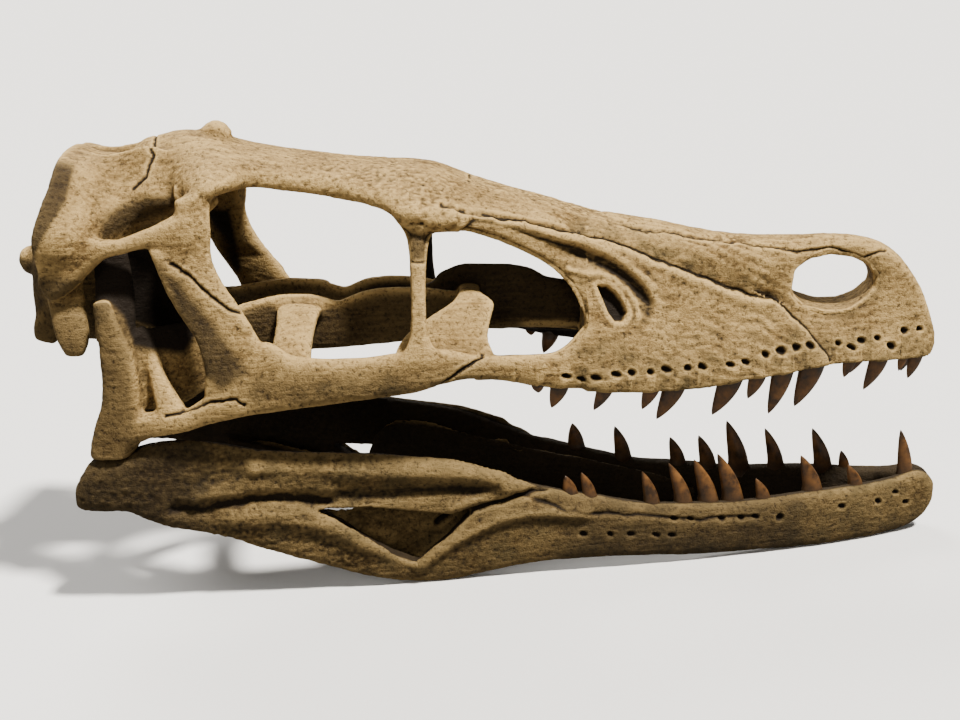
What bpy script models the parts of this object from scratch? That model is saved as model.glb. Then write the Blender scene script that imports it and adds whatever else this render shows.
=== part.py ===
"""Skull of a Velociraptor-type dinosaur, life size, resting on its own lower jaw.

The skull and each half of the lower jaw are first built whole, as limbs (tapered bars, plates and shells)
that run into each other, and are then parted along the sutures into single bones. Tables are in millimetres
in the skull's own frame: +X towards the snout, +Y to the animal's left, +Z up, with X = 0 just ahead of the
lacrimals. The bones hang on an empty, the stance, that lays the underside of the jaw level on the ground.
"""

import math

import bmesh
import bpy
import numpy as np
from mathutils import Vector

MM = 0.001

# Driving dimensions, in millimetres.
REST_PITCH = 2.9  # degrees, nose down, so that the underside of the lower jaw lies on the ground
GROUND_WEAR = 0.3  # height of the jaw's lowest edge that is worn flat where it stands
SUTURE_GAP = 0.36
FLAT_ANGLE = 4.0  # degrees between faces that are joined into one
CRANIUM_VOXEL = 0.75
CRANIUM_ROUNDS = 6  # rounds of softening where the limbs run into each other
CRANIUM_TRIANGLES = 1900
JAW_RINGS = 32
JAW_SIDES = 10
SPLENIAL_RINGS = 15
SPLENIAL_SIDES = 6
REACH = 150  # further than any bone from the middle of the skull
EVERYWHERE = [(-REACH, -REACH), (REACH, -REACH), (REACH, REACH), (-REACH, REACH)]
CORNER = math.sqrt(3)  # a box's corner moves this much further than its faces when its surface grows
SPLENIAL_THICKNESS = 2.0
SPLENIAL_INSET = 6.9  # from the jaw's outer face to the splenial's

BONE = (0.56, 0.43, 0.27, 1.0)
DARK_BONE = (0.30, 0.24, 0.16, 1.0)
LOWEST = ("dentary", "angular")
STAINED = ("splenial", "dentary", "surangular", "angular", "articular", "vomer", "pterygoid", "braincase")

# Half-width of the side wall, low at the tooth row and jugal, and at the roof's edge: (x, half-width).
WALL_LOW = [(-118, 30), (-100, 33), (-75, 35.5), (-60, 36.5), (-40, 36), (-15, 33.5), (0, 31), (17, 28.3),
            (33, 26), (45, 24), (61, 20.5), (73, 18.5), (90, 16), (107, 12.5), (119, 9), (128, 4)]
WALL_TOP = [(-118, 26), (-85, 30), (-76, 29), (-70, 26), (-65, 20), (-55, 16.5), (-40, 15.5), (-28, 18.5),
            (-22, 22), (-14, 22), (0, 19.5), (17, 17), (34, 14.5), (45, 13), (62, 11), (73, 9.5), (90, 7),
            (128, 2)]
ROOF_EDGE = [(-118, 60), (-80, 60), (-70, 55), (-40, 53), (-20, 47), (0, 44), (20, 39), (37, 34), (60, 32),
             (128, 32)]
WALL_BEND = 10.0  # height above which the side wall leans inwards

# Thickness of the lower jaw's outer wall: (x, thickness).
JAW_WALL = [(-112, 5), (-106, 8.6), (-94, 8.4), (-86, 5.6), (-40, 5.6), (20, 5.8), (76, 6.4), (110, 6.6),
            (134, 5)]

JAW = [  # x, lower edge, upper edge, outer half-width
    (-111.4, -33, -28, 30.5), (-110, -34.2, -25, 31), (-107, -34.6, -20.4, 31.6), (-103, -34.6, -18.8, 32),
    (-97, -34.8, -18.2, 32.3), (-93, -36.4, -16, 32.2), (-86, -39, -13.9, 31.8), (-78, -41, -13.7, 31),
    (-69, -43.6, -15.4, 30), (-60, -47.2, -17.4, 29.4), (-46, -52.2, -18.5, 27.8), (-37, -55.2, -19.1, 27),
    (-27, -58, -19.9, 26), (-17, -59.4, -21.1, 25), (-7, -58.8, -22.7, 24.3), (6, -56.2, -27.1, 23.3),
    (17, -54.4, -30.8, 22.5), (34, -53.4, -34.5, 21.3), (47, -53.5, -37.1, 20.3), (63, -53.8, -37.8, 18.6),
    (76, -53.8, -38.2, 16.7), (93, -53.6, -36.8, 14), (106, -53.2, -36, 11.3), (115, -52.6, -35.6, 8.9),
    (122, -51.8, -34.8, 6.8), (128, -50.4, -33.2, 5.2), (132.2, -47.6, -34.4, 4), (134.6, -43.6, -37.4, 2.6)]


def table(rows, x, column=1):
    """A column of a table, read at x."""
    rows = np.array(rows, float)
    return np.interp(x, rows[:, 0], rows[:, column])


def wall(x, z):
    """Half-width of the side wall of the skull at a point of its side view."""
    rise = np.clip((z - WALL_BEND) / (table(ROOF_EDGE, x) - WALL_BEND), 0, 1)
    return table(WALL_LOW, x) * (1 - rise) + table(WALL_TOP, x) * rise


def smooth(rows, count):
    """Rows of numbers carried through their own points by a Catmull-Rom curve, at count places."""
    rows = np.array(rows, float)
    rows = np.vstack([2 * rows[0] - rows[1], rows, 2 * rows[-1] - rows[-2]])
    place = np.linspace(0, len(rows) - 3, count)
    start = np.minimum(place.astype(int), len(rows) - 4)
    t = (place - start)[:, None]
    a, b, c, d = (rows[start + step] for step in range(4))
    linear, square, cube = c - a, 2 * a - 5 * b + 4 * c - d, 3 * b - a - 3 * c + d
    return 0.5 * (2 * b + linear * t + square * t**2 + cube * t**3)


def rings(centres, across, deep, sides=14, power=2.6):
    """Superellipse sections: a ring of points about each centre, spanned by two half-axes."""
    turn = np.linspace(0, 2 * math.pi, sides, endpoint=False)
    c = np.sign(np.cos(turn)) * np.abs(np.cos(turn)) ** (2 / power)
    s = np.sign(np.sin(turn)) * np.abs(np.sin(turn)) ** (2 / power)
    return centres[:, None] + across[:, None] * c[None, :, None] + deep[:, None] * s[None, :, None]


def bar(stations, count=0, side=-1):
    """A bar or plate flush with the side wall. A station is two edge points (x, z, x, z) and a thickness."""
    rows = smooth(stations, count or 4 * len(stations))
    ends = []
    for x, z in ((rows[:, 0], rows[:, 1]), (rows[:, 2], rows[:, 3])):
        ends.append(np.stack([x, side * (wall(x, z) - rows[:, 4] / 2), z], 1))
    centre = (ends[0] + ends[1]) / 2
    across = (ends[1] - ends[0]) / 2
    normal = np.cross(across, np.gradient(centre, axis=0))
    normal /= np.linalg.norm(normal, axis=1)[:, None]
    return rings(centre, across, normal * rows[:, 4:5] / 2)


def plate(stations, count=0, upright=(0, 0, 1)):
    """A plate on a path in space. A station is a point, a half-height along upright, and a half-thickness."""
    rows = smooth(stations, count or 4 * len(stations))
    tangent = np.gradient(rows[:, :3], axis=0)
    normal = np.cross(tangent, np.array(upright, float))
    normal /= np.linalg.norm(normal, axis=1)[:, None]
    up = np.cross(normal, tangent)
    up /= np.linalg.norm(up, axis=1)[:, None]
    return rings(rows[:, :3], up * rows[:, 3:4], normal * rows[:, 4:5])


def shell(stations, count=0, rounds=32):
    """A body across the mid-plane. A station is x and its left half's corners (y, z), from top to bottom."""
    half = len(stations[0][1])
    rows = smooth([[x] + [value for corner in corners for value in corner] for x, corners in stations],
                  count or 4 * len(stations))
    x = rows[:, 0]
    left = rows[:, 1:].reshape(len(rows), half, 2)
    right = left[:, ::-1].copy()
    right[..., 0] *= -1
    skip = [left[:, 0, 0].max() < 1e-6, left[:, -1, 0].max() < 1e-6]
    loop = np.concatenate([left, right[:, int(skip[1]):half - int(skip[0])]], 1)
    loop = np.concatenate([loop[:, -1:], loop, loop[:, :2]], 1)
    ring = np.stack([smooth(one, (len(one) - 1) * 8 + 1)[8:-8:] for one in loop])
    ring = ring[:, np.linspace(0, ring.shape[1] - 1, rounds + 1).round().astype(int)[:-1]]
    return np.concatenate([np.broadcast_to(x[:, None, None], ring.shape[:2] + (1,)), ring], 2)


def upright(stations, side, walls, inset, count, sides):
    """A half of the lower jaw, upright: stations of x, lower edge, upper edge and outer half-width."""
    rows = smooth(stations, count)
    thick = table(walls, rows[:, 0])
    centre = np.stack([rows[:, 0], side * (rows[:, 3] - inset - thick / 2), (rows[:, 1] + rows[:, 2]) / 2], 1)
    zero = np.zeros(len(rows))
    across = np.stack([zero, zero, (rows[:, 2] - rows[:, 1]) / 2], 1)
    deep = np.stack([zero, -side * thick / 2, zero], 1)
    return rings(centre, across, deep, sides, 3.2)


def mirrored(grid):
    """The same grid on the other side of the skull."""
    return grid * np.array([1, -1, 1])


def mesh_object(name, grids):
    """One mesh object from closed tubes, each a grid of rings, with flat caps."""
    points = []
    faces = []
    first = 0
    for grid in grids:
        rows, sides = grid.shape[:2]
        index = first + np.arange(rows * sides).reshape(rows, sides)
        near, far = index[:-1], index[1:]
        quads = np.stack([near, np.roll(near, -1, 1), np.roll(far, -1, 1), far], -1)
        faces += [list(face) for face in quads.reshape(-1, 4)]
        faces += [list(index[0][::-1]), list(index[-1])]
        points.append(grid.reshape(-1, 3))
        first += rows * sides
    mesh = bpy.data.meshes.new(name)
    mesh.from_pydata((np.concatenate(points) * MM).tolist(), [], faces)
    obj = bpy.data.objects.new(name, mesh)
    bpy.context.scene.collection.objects.link(obj)
    outward(mesh)
    return obj


def outward(mesh):
    """Turns a mesh's faces outwards."""
    shape = bmesh.new()
    shape.from_mesh(mesh)
    bmesh.ops.recalc_face_normals(shape, faces=shape.faces)
    shape.to_mesh(mesh)
    shape.free()


def prism(name, outline, y_from, y_to, both=True):
    """A cutter: an outline in side view (x, z), extruded from one half-width to another, on both sides."""
    shape = bmesh.new()
    for side in (-1, 1) if both else (1,):
        ends = [[shape.verts.new(Vector((x, side * y, z)) * MM) for x, z in outline] for y in (y_from, y_to)]
        for end in ends:
            shape.faces.new(end)
        for i in range(len(outline)):
            j = (i + 1) % len(outline)
            shape.faces.new((ends[0][i], ends[0][j], ends[1][j], ends[1][i]))
    bmesh.ops.recalc_face_normals(shape, faces=shape.faces)
    mesh = bpy.data.meshes.new(name)
    shape.to_mesh(mesh)
    shape.free()
    return helper(name, mesh)


def helper(name, mesh):
    """A cutter or guide, which isn't a bone."""
    obj = bpy.data.objects.new(name, mesh)
    obj.hide_render = True
    obj.display_type = "WIRE"
    bpy.context.scene.collection.objects.link(obj)
    return obj


def applied(obj):
    """Bakes an object's modifiers into its mesh."""
    bpy.context.view_layer.update()
    mesh = bpy.data.meshes.new_from_object(obj.evaluated_get(bpy.context.evaluated_depsgraph_get()))
    obj.modifiers.clear()
    obj.data = mesh


def boolean(obj, other, operation):
    """Cuts, joins or crosses an object with another and bakes the result."""
    cut = obj.modifiers.new(operation.lower(), "BOOLEAN")
    cut.operation = operation
    cut.object = other
    cut.solver = "EXACT"
    applied(obj)


def discard(obj):
    """Removes a cutter that has done its work."""
    bpy.data.objects.remove(obj)


def bodies(mesh):
    """The separate bodies of a mesh, each as its own new mesh, largest first."""
    shape = bmesh.new()
    shape.from_mesh(mesh)
    left = set(shape.verts)
    groups = []
    while left:
        group = set()
        front = [left.pop()]
        while front:
            vert = front.pop()
            group.add(vert)
            for edge in vert.link_edges:
                other = edge.other_vert(vert)
                if other in left:
                    left.discard(other)
                    front.append(other)
        groups.append(group)
    meshes = []
    for group in groups:
        part = shape.copy()
        part.verts.ensure_lookup_table()
        keep = {vert.index for vert in group}
        bmesh.ops.delete(part, geom=[v for v in part.verts if v.index not in keep], context="VERTS")
        made = bpy.data.meshes.new("body")
        meshes.append((part.calc_volume(), made))
        part.to_mesh(made)
        part.free()
    shape.free()
    return [made for volume, made in sorted(meshes, key=lambda pair: -pair[0])]


def middle(mesh):
    """Mean of a mesh's points."""
    return np.mean([vert.co for vert in mesh.vertices], axis=0)


def named(mesh, name):
    """A bone's object for a mesh."""
    obj = bpy.data.objects.new(name, mesh)
    bpy.context.scene.collection.objects.link(obj)
    return obj


def grown(obj, distance):
    """Moves a cutter's surface outwards."""
    grow = obj.modifiers.new("grow", "DISPLACE")
    grow.strength = distance * MM
    grow.mid_level = 0
    applied(obj)


def extract(whole, name, outline, inner, outer, split=True):
    """Takes a bone of each side, or one across the mid-plane, out of the whole, with a gap round it."""
    across = inner == 0
    region = prism(name + "_region", outline, -outer if across else inner, outer, not across)
    bone = named(whole.data.copy(), name)
    boolean(bone, region, "INTERSECT")
    grown(region, SUTURE_GAP * CORNER)
    boolean(whole, region, "DIFFERENCE")
    discard(region)
    if across and split:
        slit = prism("slit", EVERYWHERE, -SUTURE_GAP / 2, SUTURE_GAP / 2, False)
        boolean(bone, slit, "DIFFERENCE")
        discard(slit)
    parts = bodies(bone.data)
    if not split:
        bone.data = parts[0]
        return [bone]
    discard(bone)
    halves = [next(part for part in parts if side * middle(part)[1] > 0) for side, tag in SIDES]
    return [named(half, name + tag) for half, (side, tag) in zip(halves, SIDES)]


def tooth(x, y, root, length, base, lean, flat=0.5, sides=5):
    """A recurved blade of a tooth, from inside the jaw to its tip. Length is signed: down below zero."""
    steps = np.array([-0.3, 0.25, 0.7, 1.0])
    width = np.array([0.95, 0.92, 0.55, 0.12]) * base / 2
    zero = np.zeros(len(steps))
    centres = np.stack([x + lean * np.clip(steps, 0, 1) ** 1.5, zero + y, root + length * steps], 1)
    along = np.stack([width, zero, zero], 1)
    deep = np.stack([zero, width * flat, zero], 1)
    return rings(centres, along, deep, sides, 2.0)


# ---------------------------------------------------------------- the skull's limbs, in millimetres

SNOUT = [  # x, corners (y, z) from the top of the mid-plane to the palate
    (28.5, [(0, 44.6), (9, 43), (15.4, 38.6), (22.4, 20), (26.4, 5), (26.2, -0.5), (23.2, 0.2), (20, 8),
            (0, 9)]),
    (38, [(0, 43), (8.5, 41.3), (13.9, 36.2), (20.6, 19), (24.8, 5), (24.9, -1.2), (21.8, -0.5),
          (18.5, 7.5), (0, 9)]),
    (50, [(0, 41), (7.6, 39.4), (12.3, 34), (17.6, 18), (22, 6), (22.7, -1.6), (19.6, -0.8), (16.3, 7),
          (0, 9)]),
    (62, [(0, 38.7), (6.8, 37.2), (10.9, 32.2), (15.3, 17), (19.5, 6), (20.3, -1.4), (17.2, -0.8),
          (14, 6.5), (0, 8)]),
    (74, [(0, 37), (6, 35.8), (9.4, 31.4), (12.8, 17), (17, 7), (18.3, 0.2), (15.2, 0.8), (12, 6.5), (0, 8)]),
    (86, [(0, 36.9), (5, 35.9), (7.6, 31.8), (10.6, 17), (14.6, 8), (16.5, 1.5), (13.4, 2), (10.4, 7),
          (0, 8)]),
    (96, [(0, 37.2), (4.2, 36.3), (6.2, 32.8), (9, 17), (12.6, 9), (14.7, 3.2), (11.7, 3.6), (9, 7.5),
          (0, 8)]),
    (106, [(0, 36.8), (3.7, 35.8), (5.4, 32), (7.8, 17), (10.8, 9), (12.6, 3.4), (9.8, 3.8), (7.4, 7.5),
           (0, 8)]),
    (114, [(0, 34.4), (3.4, 33.2), (4.8, 29.4), (6.9, 16), (9, 8.5), (10.3, 3), (7.8, 3.4), (5.6, 7),
           (0, 7.5)]),
    (120, [(0, 29.3), (3, 28), (4.2, 24.6), (5.8, 14), (7.3, 8), (8.2, 2.8), (6, 3.2), (4.2, 6), (0, 6.5)]),
    (125.3, [(0, 21.6), (2.4, 20.6), (3.4, 18), (4.6, 11), (5.4, 7), (5.9, 2.5), (4.3, 2.9), (3, 5),
             (0, 5.5)]),
    (129, [(0, 13), (1.6, 12.4), (2.4, 11), (3, 8), (3.5, 5.6), (3.7, 2.6), (2.8, 2.8), (1.9, 4), (0, 4.4)]),
    (130.8, [(0, 8.4), (0.5, 8.2), (0.8, 7.6), (1, 6.6), (1.2, 5.4), (1.3, 4.2), (0.9, 4.3), (0.6, 4.6),
             (0, 4.8)])]

ROOF = [  # x, corners (y, z): top of the mid-plane, shoulder, edge, underside, underside at the mid-plane
    (-99, [(0, 58), (4, 56), (8, 50), (6, 47), (0, 47)]),
    (-93, [(0, 63.6), (6, 60.4), (12.5, 52), (9, 48), (0, 48)]),
    (-88, [(0, 65.2), (8, 61.6), (14, 54), (11, 49.5), (0, 50)]),
    (-82, [(0, 66.3), (9, 63.4), (17, 55), (14, 50.5), (0, 52)]),
    (-76, [(0, 66), (11, 63.6), (23.5, 55.6), (21, 51), (0, 54)]),
    (-71, [(0, 65), (12, 62.8), (26.4, 56.4), (24, 52), (0, 55)]),
    (-66.5, [(0, 63.5), (11, 61.9), (24, 57.2), (21, 53), (0, 55.4)]),
    (-61, [(0, 62), (9, 61.2), (18, 57.6), (16, 53.4), (0, 55.5)]),
    (-52, [(0, 60.6), (8, 60), (16, 56.6), (14.5, 52.2), (0, 54.8)]),
    (-40, [(0, 59.2), (8, 58.6), (15.6, 55), (14, 50.4), (0, 54)]),
    (-28, [(0, 58.2), (9, 57.4), (18.6, 52.8), (17, 48.4), (0, 53)]),
    (-20, [(0, 57.8), (10, 56.8), (22, 50.8), (20.5, 45.4), (0, 52)]),
    (-12, [(0, 56.8), (10, 55.6), (21.8, 49), (20, 44.4), (0, 51)]),
    (0, [(0, 52.6), (9, 51.4), (19.5, 45.6), (18, 41.6), (0, 47)]),
    (11, [(0, 49.6), (8.5, 48.4), (18, 42.8), (16.5, 38.2), (0, 44)]),
    (20, [(0, 47.3), (8, 46), (16.8, 40.6), (15.5, 35), (0, 41)]),
    (30, [(0, 44.4), (8, 43), (15.2, 38), (14.5, 31), (0, 36)]),
    (36, [(0, 42.8), (7.5, 41.4), (13.8, 36.4), (13, 30), (0, 33)])]

BRAINCASE = [  # x, corners (y, z) from the crest to the skull's base
    (-125.4, [(0, 34.6), (3, 33.4), (5, 30), (5.6, 26), (6.4, 20), (5, 11), (0, 10)]),
    (-122, [(0, 40.5), (6, 38), (9.5, 32), (10, 26), (9.5, 20), (7, 9.5), (0, 8.5)]),
    (-117.5, [(0, 47.5), (8, 43.5), (13, 35), (13, 28), (12.5, 21), (8, 10), (0, 9)]),
    (-113.4, [(0, 58), (8, 53), (17, 45), (15, 36), (13.5, 24), (8.5, 10), (0, 9)]),
    (-110.4, [(0, 61.9), (9, 57.5), (18, 50.5), (22, 43), (14, 29), (9, 10), (0, 9)]),
    (-104, [(0, 60.3), (8, 57), (15, 50.5), (19, 42.4), (13.5, 29), (9, 10), (0, 8)]),
    (-97, [(0, 60.4), (7, 57.6), (13, 51.4), (15, 44.4), (12.5, 29), (9, 9), (0, 7)]),
    (-91, [(0, 62.4), (7, 59), (13.4, 51.6), (14, 45), (11.5, 29), (9, 8), (0, 6)]),
    (-86, [(0, 60), (7, 56), (12, 50), (12, 44), (9.5, 31), (7, 10), (0, 8)]),
    (-82.5, [(0, 55), (5, 52), (8, 46), (8, 40), (7, 30), (5, 14), (0, 12)])]

ASCENDING = [(-12, 42, -10.5, 48, 3.6), (-4, 42.2, -2, 47.5, 3.8), (4, 39.6, 7, 45, 4),
             (12, 36.2, 17, 42, 4.2), (19.4, 31.8, 27, 38, 4.6), (24.6, 26.6, 34, 32, 4.8),
             (28, 20, 38, 24, 4.8)]
LOWER_BAR = [(-96, -15.5, -97, -5.2, 4.6), (-88, -11.6, -88, -4.3, 4.6), (-80, -9.8, -80, -3.7, 4.8),
             (-73, -7.4, -73, 0.6, 5), (-66, -5.7, -65.2, 9, 5), (-58.3, -4.2, -57, 15.3, 5),
             (-50, -3, -49.2, 11.8, 5.4), (-40, -1.8, -40.4, 10.9, 5.8), (-30, -0.7, -29.7, 11.1, 5.8),
             (-18, 0.8, -18.4, 12.5, 5.4), (-10.6, 2.8, -10.6, 12.7, 5), (-2.5, 4.1, -2.5, 11.2, 4.6),
             (5.4, 3.3, 5.4, 10.4, 4.6), (14, 1.3, 14, 10.1, 4.8), (20, 0.3, 20, 10.4, 5),
             (26, -0.3, 25, 13.4, 5.2), (32, -0.6, 31, 20, 5.4)]
JUGAL_RISE = [(-73.4, 0, -57, 14, 4.8), (-73.2, 7, -59.8, 18.6, 4.6), (-73.6, 14, -63.8, 23.6, 4),
              (-75.6, 21, -69.4, 26.4, 3.6), (-79.6, 29, -74.6, 32, 3.2), (-83, 36, -79.8, 37, 2.6),
              (-84.6, 39.6, -82.4, 40, 2.2)]
POSTORBITAL_DROP = [(-79, 52, -69, 56, 5.6), (-79, 47, -70.4, 49.6, 5.4), (-79, 42, -70.4, 43.4, 5),
                    (-79.4, 36.6, -70.2, 38, 4.6), (-77, 30.4, -68.8, 33, 4.2),
                    (-72.6, 25.4, -66.4, 28.4, 3.8), (-67, 21, -63, 23.6, 3.2),
                    (-62.4, 17.8, -60, 19.4, 2.4)]
TEMPORAL_BAR = [(-70.6, 40, -71, 50.4, 5.6), (-76, 38.8, -76.6, 49.8, 5.8), (-82, 39.7, -82.4, 46.8, 5.2),
                (-87.4, 39.8, -88, 44.4, 4.8), (-93, 38.3, -93.6, 42.3, 4.8), (-98.4, 36.6, -99, 42, 5.2),
                (-103.4, 32, -103, 43.4, 6), (-108.8, 27, -106.6, 45, 6.4), (-114, 25, -110.4, 44.4, 6),
                (-117, 29.6, -114, 41, 4.6)]
LACRIMAL = [(-28, 50, -8, 47.6, 4.6), (-23.6, 46.6, -10.6, 44.6, 4.8), (-20, 42, -13, 41, 4.8),
            (-18.9, 37, -13.9, 37, 4.6), (-18.6, 30, -14.3, 30, 4.2), (-18.4, 22, -14.1, 22, 4),
            (-18.8, 16, -13.4, 16, 4.2), (-20.4, 12, -11.2, 12, 4.2), (-22, 9.4, -9.4, 9.4, 4.2)]
QUADRATE = [(-102, 25.4, -97.8, 26, 3.8), (-101.4, 20, -95.2, 21, 4.4), (-101, 12, -92.4, 13, 5.2),
            (-101, 4, -91, 5, 5.6), (-101.8, -2.5, -91, -3.4, 6.4), (-104, -8.4, -91.4, -8.6, 7.6),
            (-105.8, -13.6, -93.4, -13.4, 9), (-106.4, -18.6, -95.2, -18, 9.4)]

QUADRATE_WING = [(-98, -31.4, 5, 9, 1.7), (-91, -27.4, 5.6, 11.4, 1.4), (-83, -22, 6, 12, 1.3),
                 (-75, -16.4, 8.6, 9.6, 1.4), (-66, -12, 12.6, 7, 1.6)]
PTERYGOID = [(-77, -17.5, 8, 8.6, 1.4), (-66, -12, 13.4, 6.6, 1.6), (-56, -9.6, 14.6, 7.6, 1.7),
             (-48, -8.6, 14, 8.2, 1.7), (-39, -7.8, 13.2, 7, 1.7), (-30, -7, 15, 8.2, 1.7),
             (-20, -6, 15.8, 8, 1.7), (-10, -4.4, 16, 6.4, 1.7), (-2, -2, 16, 5, 1.7)]
ECTOPTERYGOID = [(-50, -8, 17, 2.4, 6.6), (-50, -15, 18, 2.4, 6), (-50.4, -22, 14, 2.3, 5.4),
                 (-50.6, -29, 8.6, 2.3, 5.6), (-50, -35, 5, 2.6, 7)]
PALATINE = [(-9, -32.4, 6, 1.9, 12), (-10, -28, 9.4, 1.7, 14), (-10, -23.4, 14.6, 1.6, 11.6),
            (-7.6, -19.4, 20, 1.6, 8), (-5, -15.6, 24, 1.6, 5.4), (-4.4, -10, 24.6, 1.6, 4.4),
            (-3.6, -3, 22.4, 1.6, 4), (-3.4, 1, 22, 1.6, 4)]
KEEL = [(-17, 0, 19, 4, 1.5), (-13, 0, 18, 7, 1.5), (-8, 0, 18.4, 9, 1.6), (-3, 0, 19, 10, 1.6),
        (4, 0, 19.2, 9.9, 1.6), (11, 0, 19, 9.4, 1.6), (17, 0, 17.6, 8, 1.6), (25, 0, 16.8, 7.3, 1.6),
        (32, 0, 16, 7, 1.6)]
NUCHAL_WING = [(-110, -27.4, 38.6, 5.6, 2.4), (-110.4, -24, 42.4, 6.4, 2.6), (-110.8, -18, 47.6, 7.6, 2.6),
               (-111.2, -11, 53, 7.8, 2.8), (-111.4, -4, 56.6, 5.4, 2.8), (-111.4, 2, 57, 5, 2.8)]
PAROCCIPITAL = [(-114, -7, 34, 5, 3.2), (-113, -14, 32, 5.4, 3), (-111.6, -20.4, 28, 5, 2.6),
                (-110, -24.6, 21, 4.8, 2.4), (-109, -26, 14.4, 4.4, 2.2), (-109, -26, 9.6, 2.4, 1.6)]
TUBER = [(-118, -6, 19, 4, 3.6), (-121.4, -7, 12.6, 4.2, 3.4), (-122.6, -7.4, 8, 3, 2.6)]
CONDYLE = [(-122, 0, 29.6, 3.8, 4.4), (-125.6, 0, 29.8, 4.3, 4.4), (-128.2, 0, 30.6, 3.4, 3.6),
           (-129.9, 0, 31, 1.6, 1.8)]
BOSS = [(-76, 0, 64, 2.6, 4), (-72.4, 0, 65.9, 3.1, 3.4), (-69.4, 0, 63.8, 2.4, 3)]

NARIS = [(86.4, 22.6), (87.6, 28.6), (92, 31.4), (97.8, 32.6), (104, 31.8), (109, 29.6), (112.6, 26.2),
         (112.4, 24), (108.6, 21.8), (103.3, 19.6), (97, 19.6), (91, 20.4)]

# Teeth: x, base, length, lean of the tip (back is below zero), height of the jaw's edge, its half-width.
UPPER_TEETH = [(15.6, 3.3, 1.8, 0.2, 1.6, 28.5), (21.7, 5, 5.4, -2.1, 1.1, 27.4),
               (34.4, 4.7, 5.8, -3.1, 0.3, 25.6), (47.4, 4.8, 5.8, -2.5, -0.3, 23.2),
               (53.9, 6.4, 8.6, -4.6, -0.5, 21.9), (69.8, 6.8, 8.8, -4.5, -0.1, 19),
               (77.5, 4.8, 6, -2.4, 1.1, 17.6), (84.8, 6, 11, -3.3, 2.3, 16.6),
               (93.4, 7, 10.6, -4.2, 3.3, 15.1), (104, 3.8, 4.6, -1.3, 4.2, 12.9),
               (113.2, 5.4, 8.2, -3.7, 3.9, 10.4), (120.3, 2.8, 3.8, -0.9, 3.6, 7.9),
               (124.9, 4.2, 6.2, -1.7, 3.4, 5.6)]
LOWER_RIGHT_TEETH = [(25.6, 4, 4.2, -1.5, -33.4, 21.4), (31.1, 3.8, 5.6, -2.5, -34.3, 21),
                     (49.1, 4.2, 7.6, -3.1, -37.4, 19), (58.3, 4.8, 9.4, -4.6, -37.8, 17.8),
                     (65.7, 5.4, 10, -4.6, -38, 16.7), (73, 5.8, 11.2, -5, -38.3, 15.6),
                     (81.9, 3.8, 4.6, -2.4, -37.7, 14.4), (96.8, 5.4, 8.4, -4, -36.7, 11.8),
                     (110, 4.2, 5, -2.6, -36.4, 8.6), (125.5, 4.4, 11, -2.4, -34.6, 4.6)]
LOWER_LEFT_TEETH = [(29.8, 5, 6, -1.3, -34, 21), (44.2, 4.8, 7.9, -2.8, -36.8, 19.4),
                    (61, 4.6, 6.6, -2.7, -38, 17.4), (70, 4.8, 7.6, -3.2, -38.2, 16.2),
                    (79.1, 6, 12, -4.4, -38.2, 14.8), (90.2, 4.7, 9.6, -4, -37.2, 13),
                    (103.8, 5.2, 10, -4, -36.6, 10.4), (110.1, 3.3, 4.4, -1.3, -36.4, 8.6)]

SIDES = [(-1, "_right"), (1, "_left")]
LOWER_TEETH = {"_right": LOWER_RIGHT_TEETH, "_left": LOWER_LEFT_TEETH}
PREMAXILLA_FROM = 98.4  # x where the premaxilla's row of teeth starts
TOOTH_INSET = 0.62  # of a tooth's base, from the outer face of the jaw to the tooth's middle

# The opening in the outer face of the lower jaw.
JAW_OPENING = [(-47, -35), (-31, -35), (-12, -37.6), (-1.6, -37), (-9.5, -46), (-17.4, -53.2), (-25, -50),
               (-33, -44.6), (-41, -38.6)]
SPLENIAL = [(-79, -36.6, -33), (-70, -39.4, -34.6), (-60, -43.6, -36.8), (-48, -48, -38.6),
            (-39, -51.4, -38.8), (-35, -53, -37), (-32, -54, -30), (-26, -55.4, -26.4), (-16, -56, -26.6),
            (-6, -55.6, -28.4), (6, -53.6, -31), (20, -51.8, -34), (40, -51, -37.6), (56, -49.8, -41),
            (66, -47.4, -44.4)]


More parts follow.
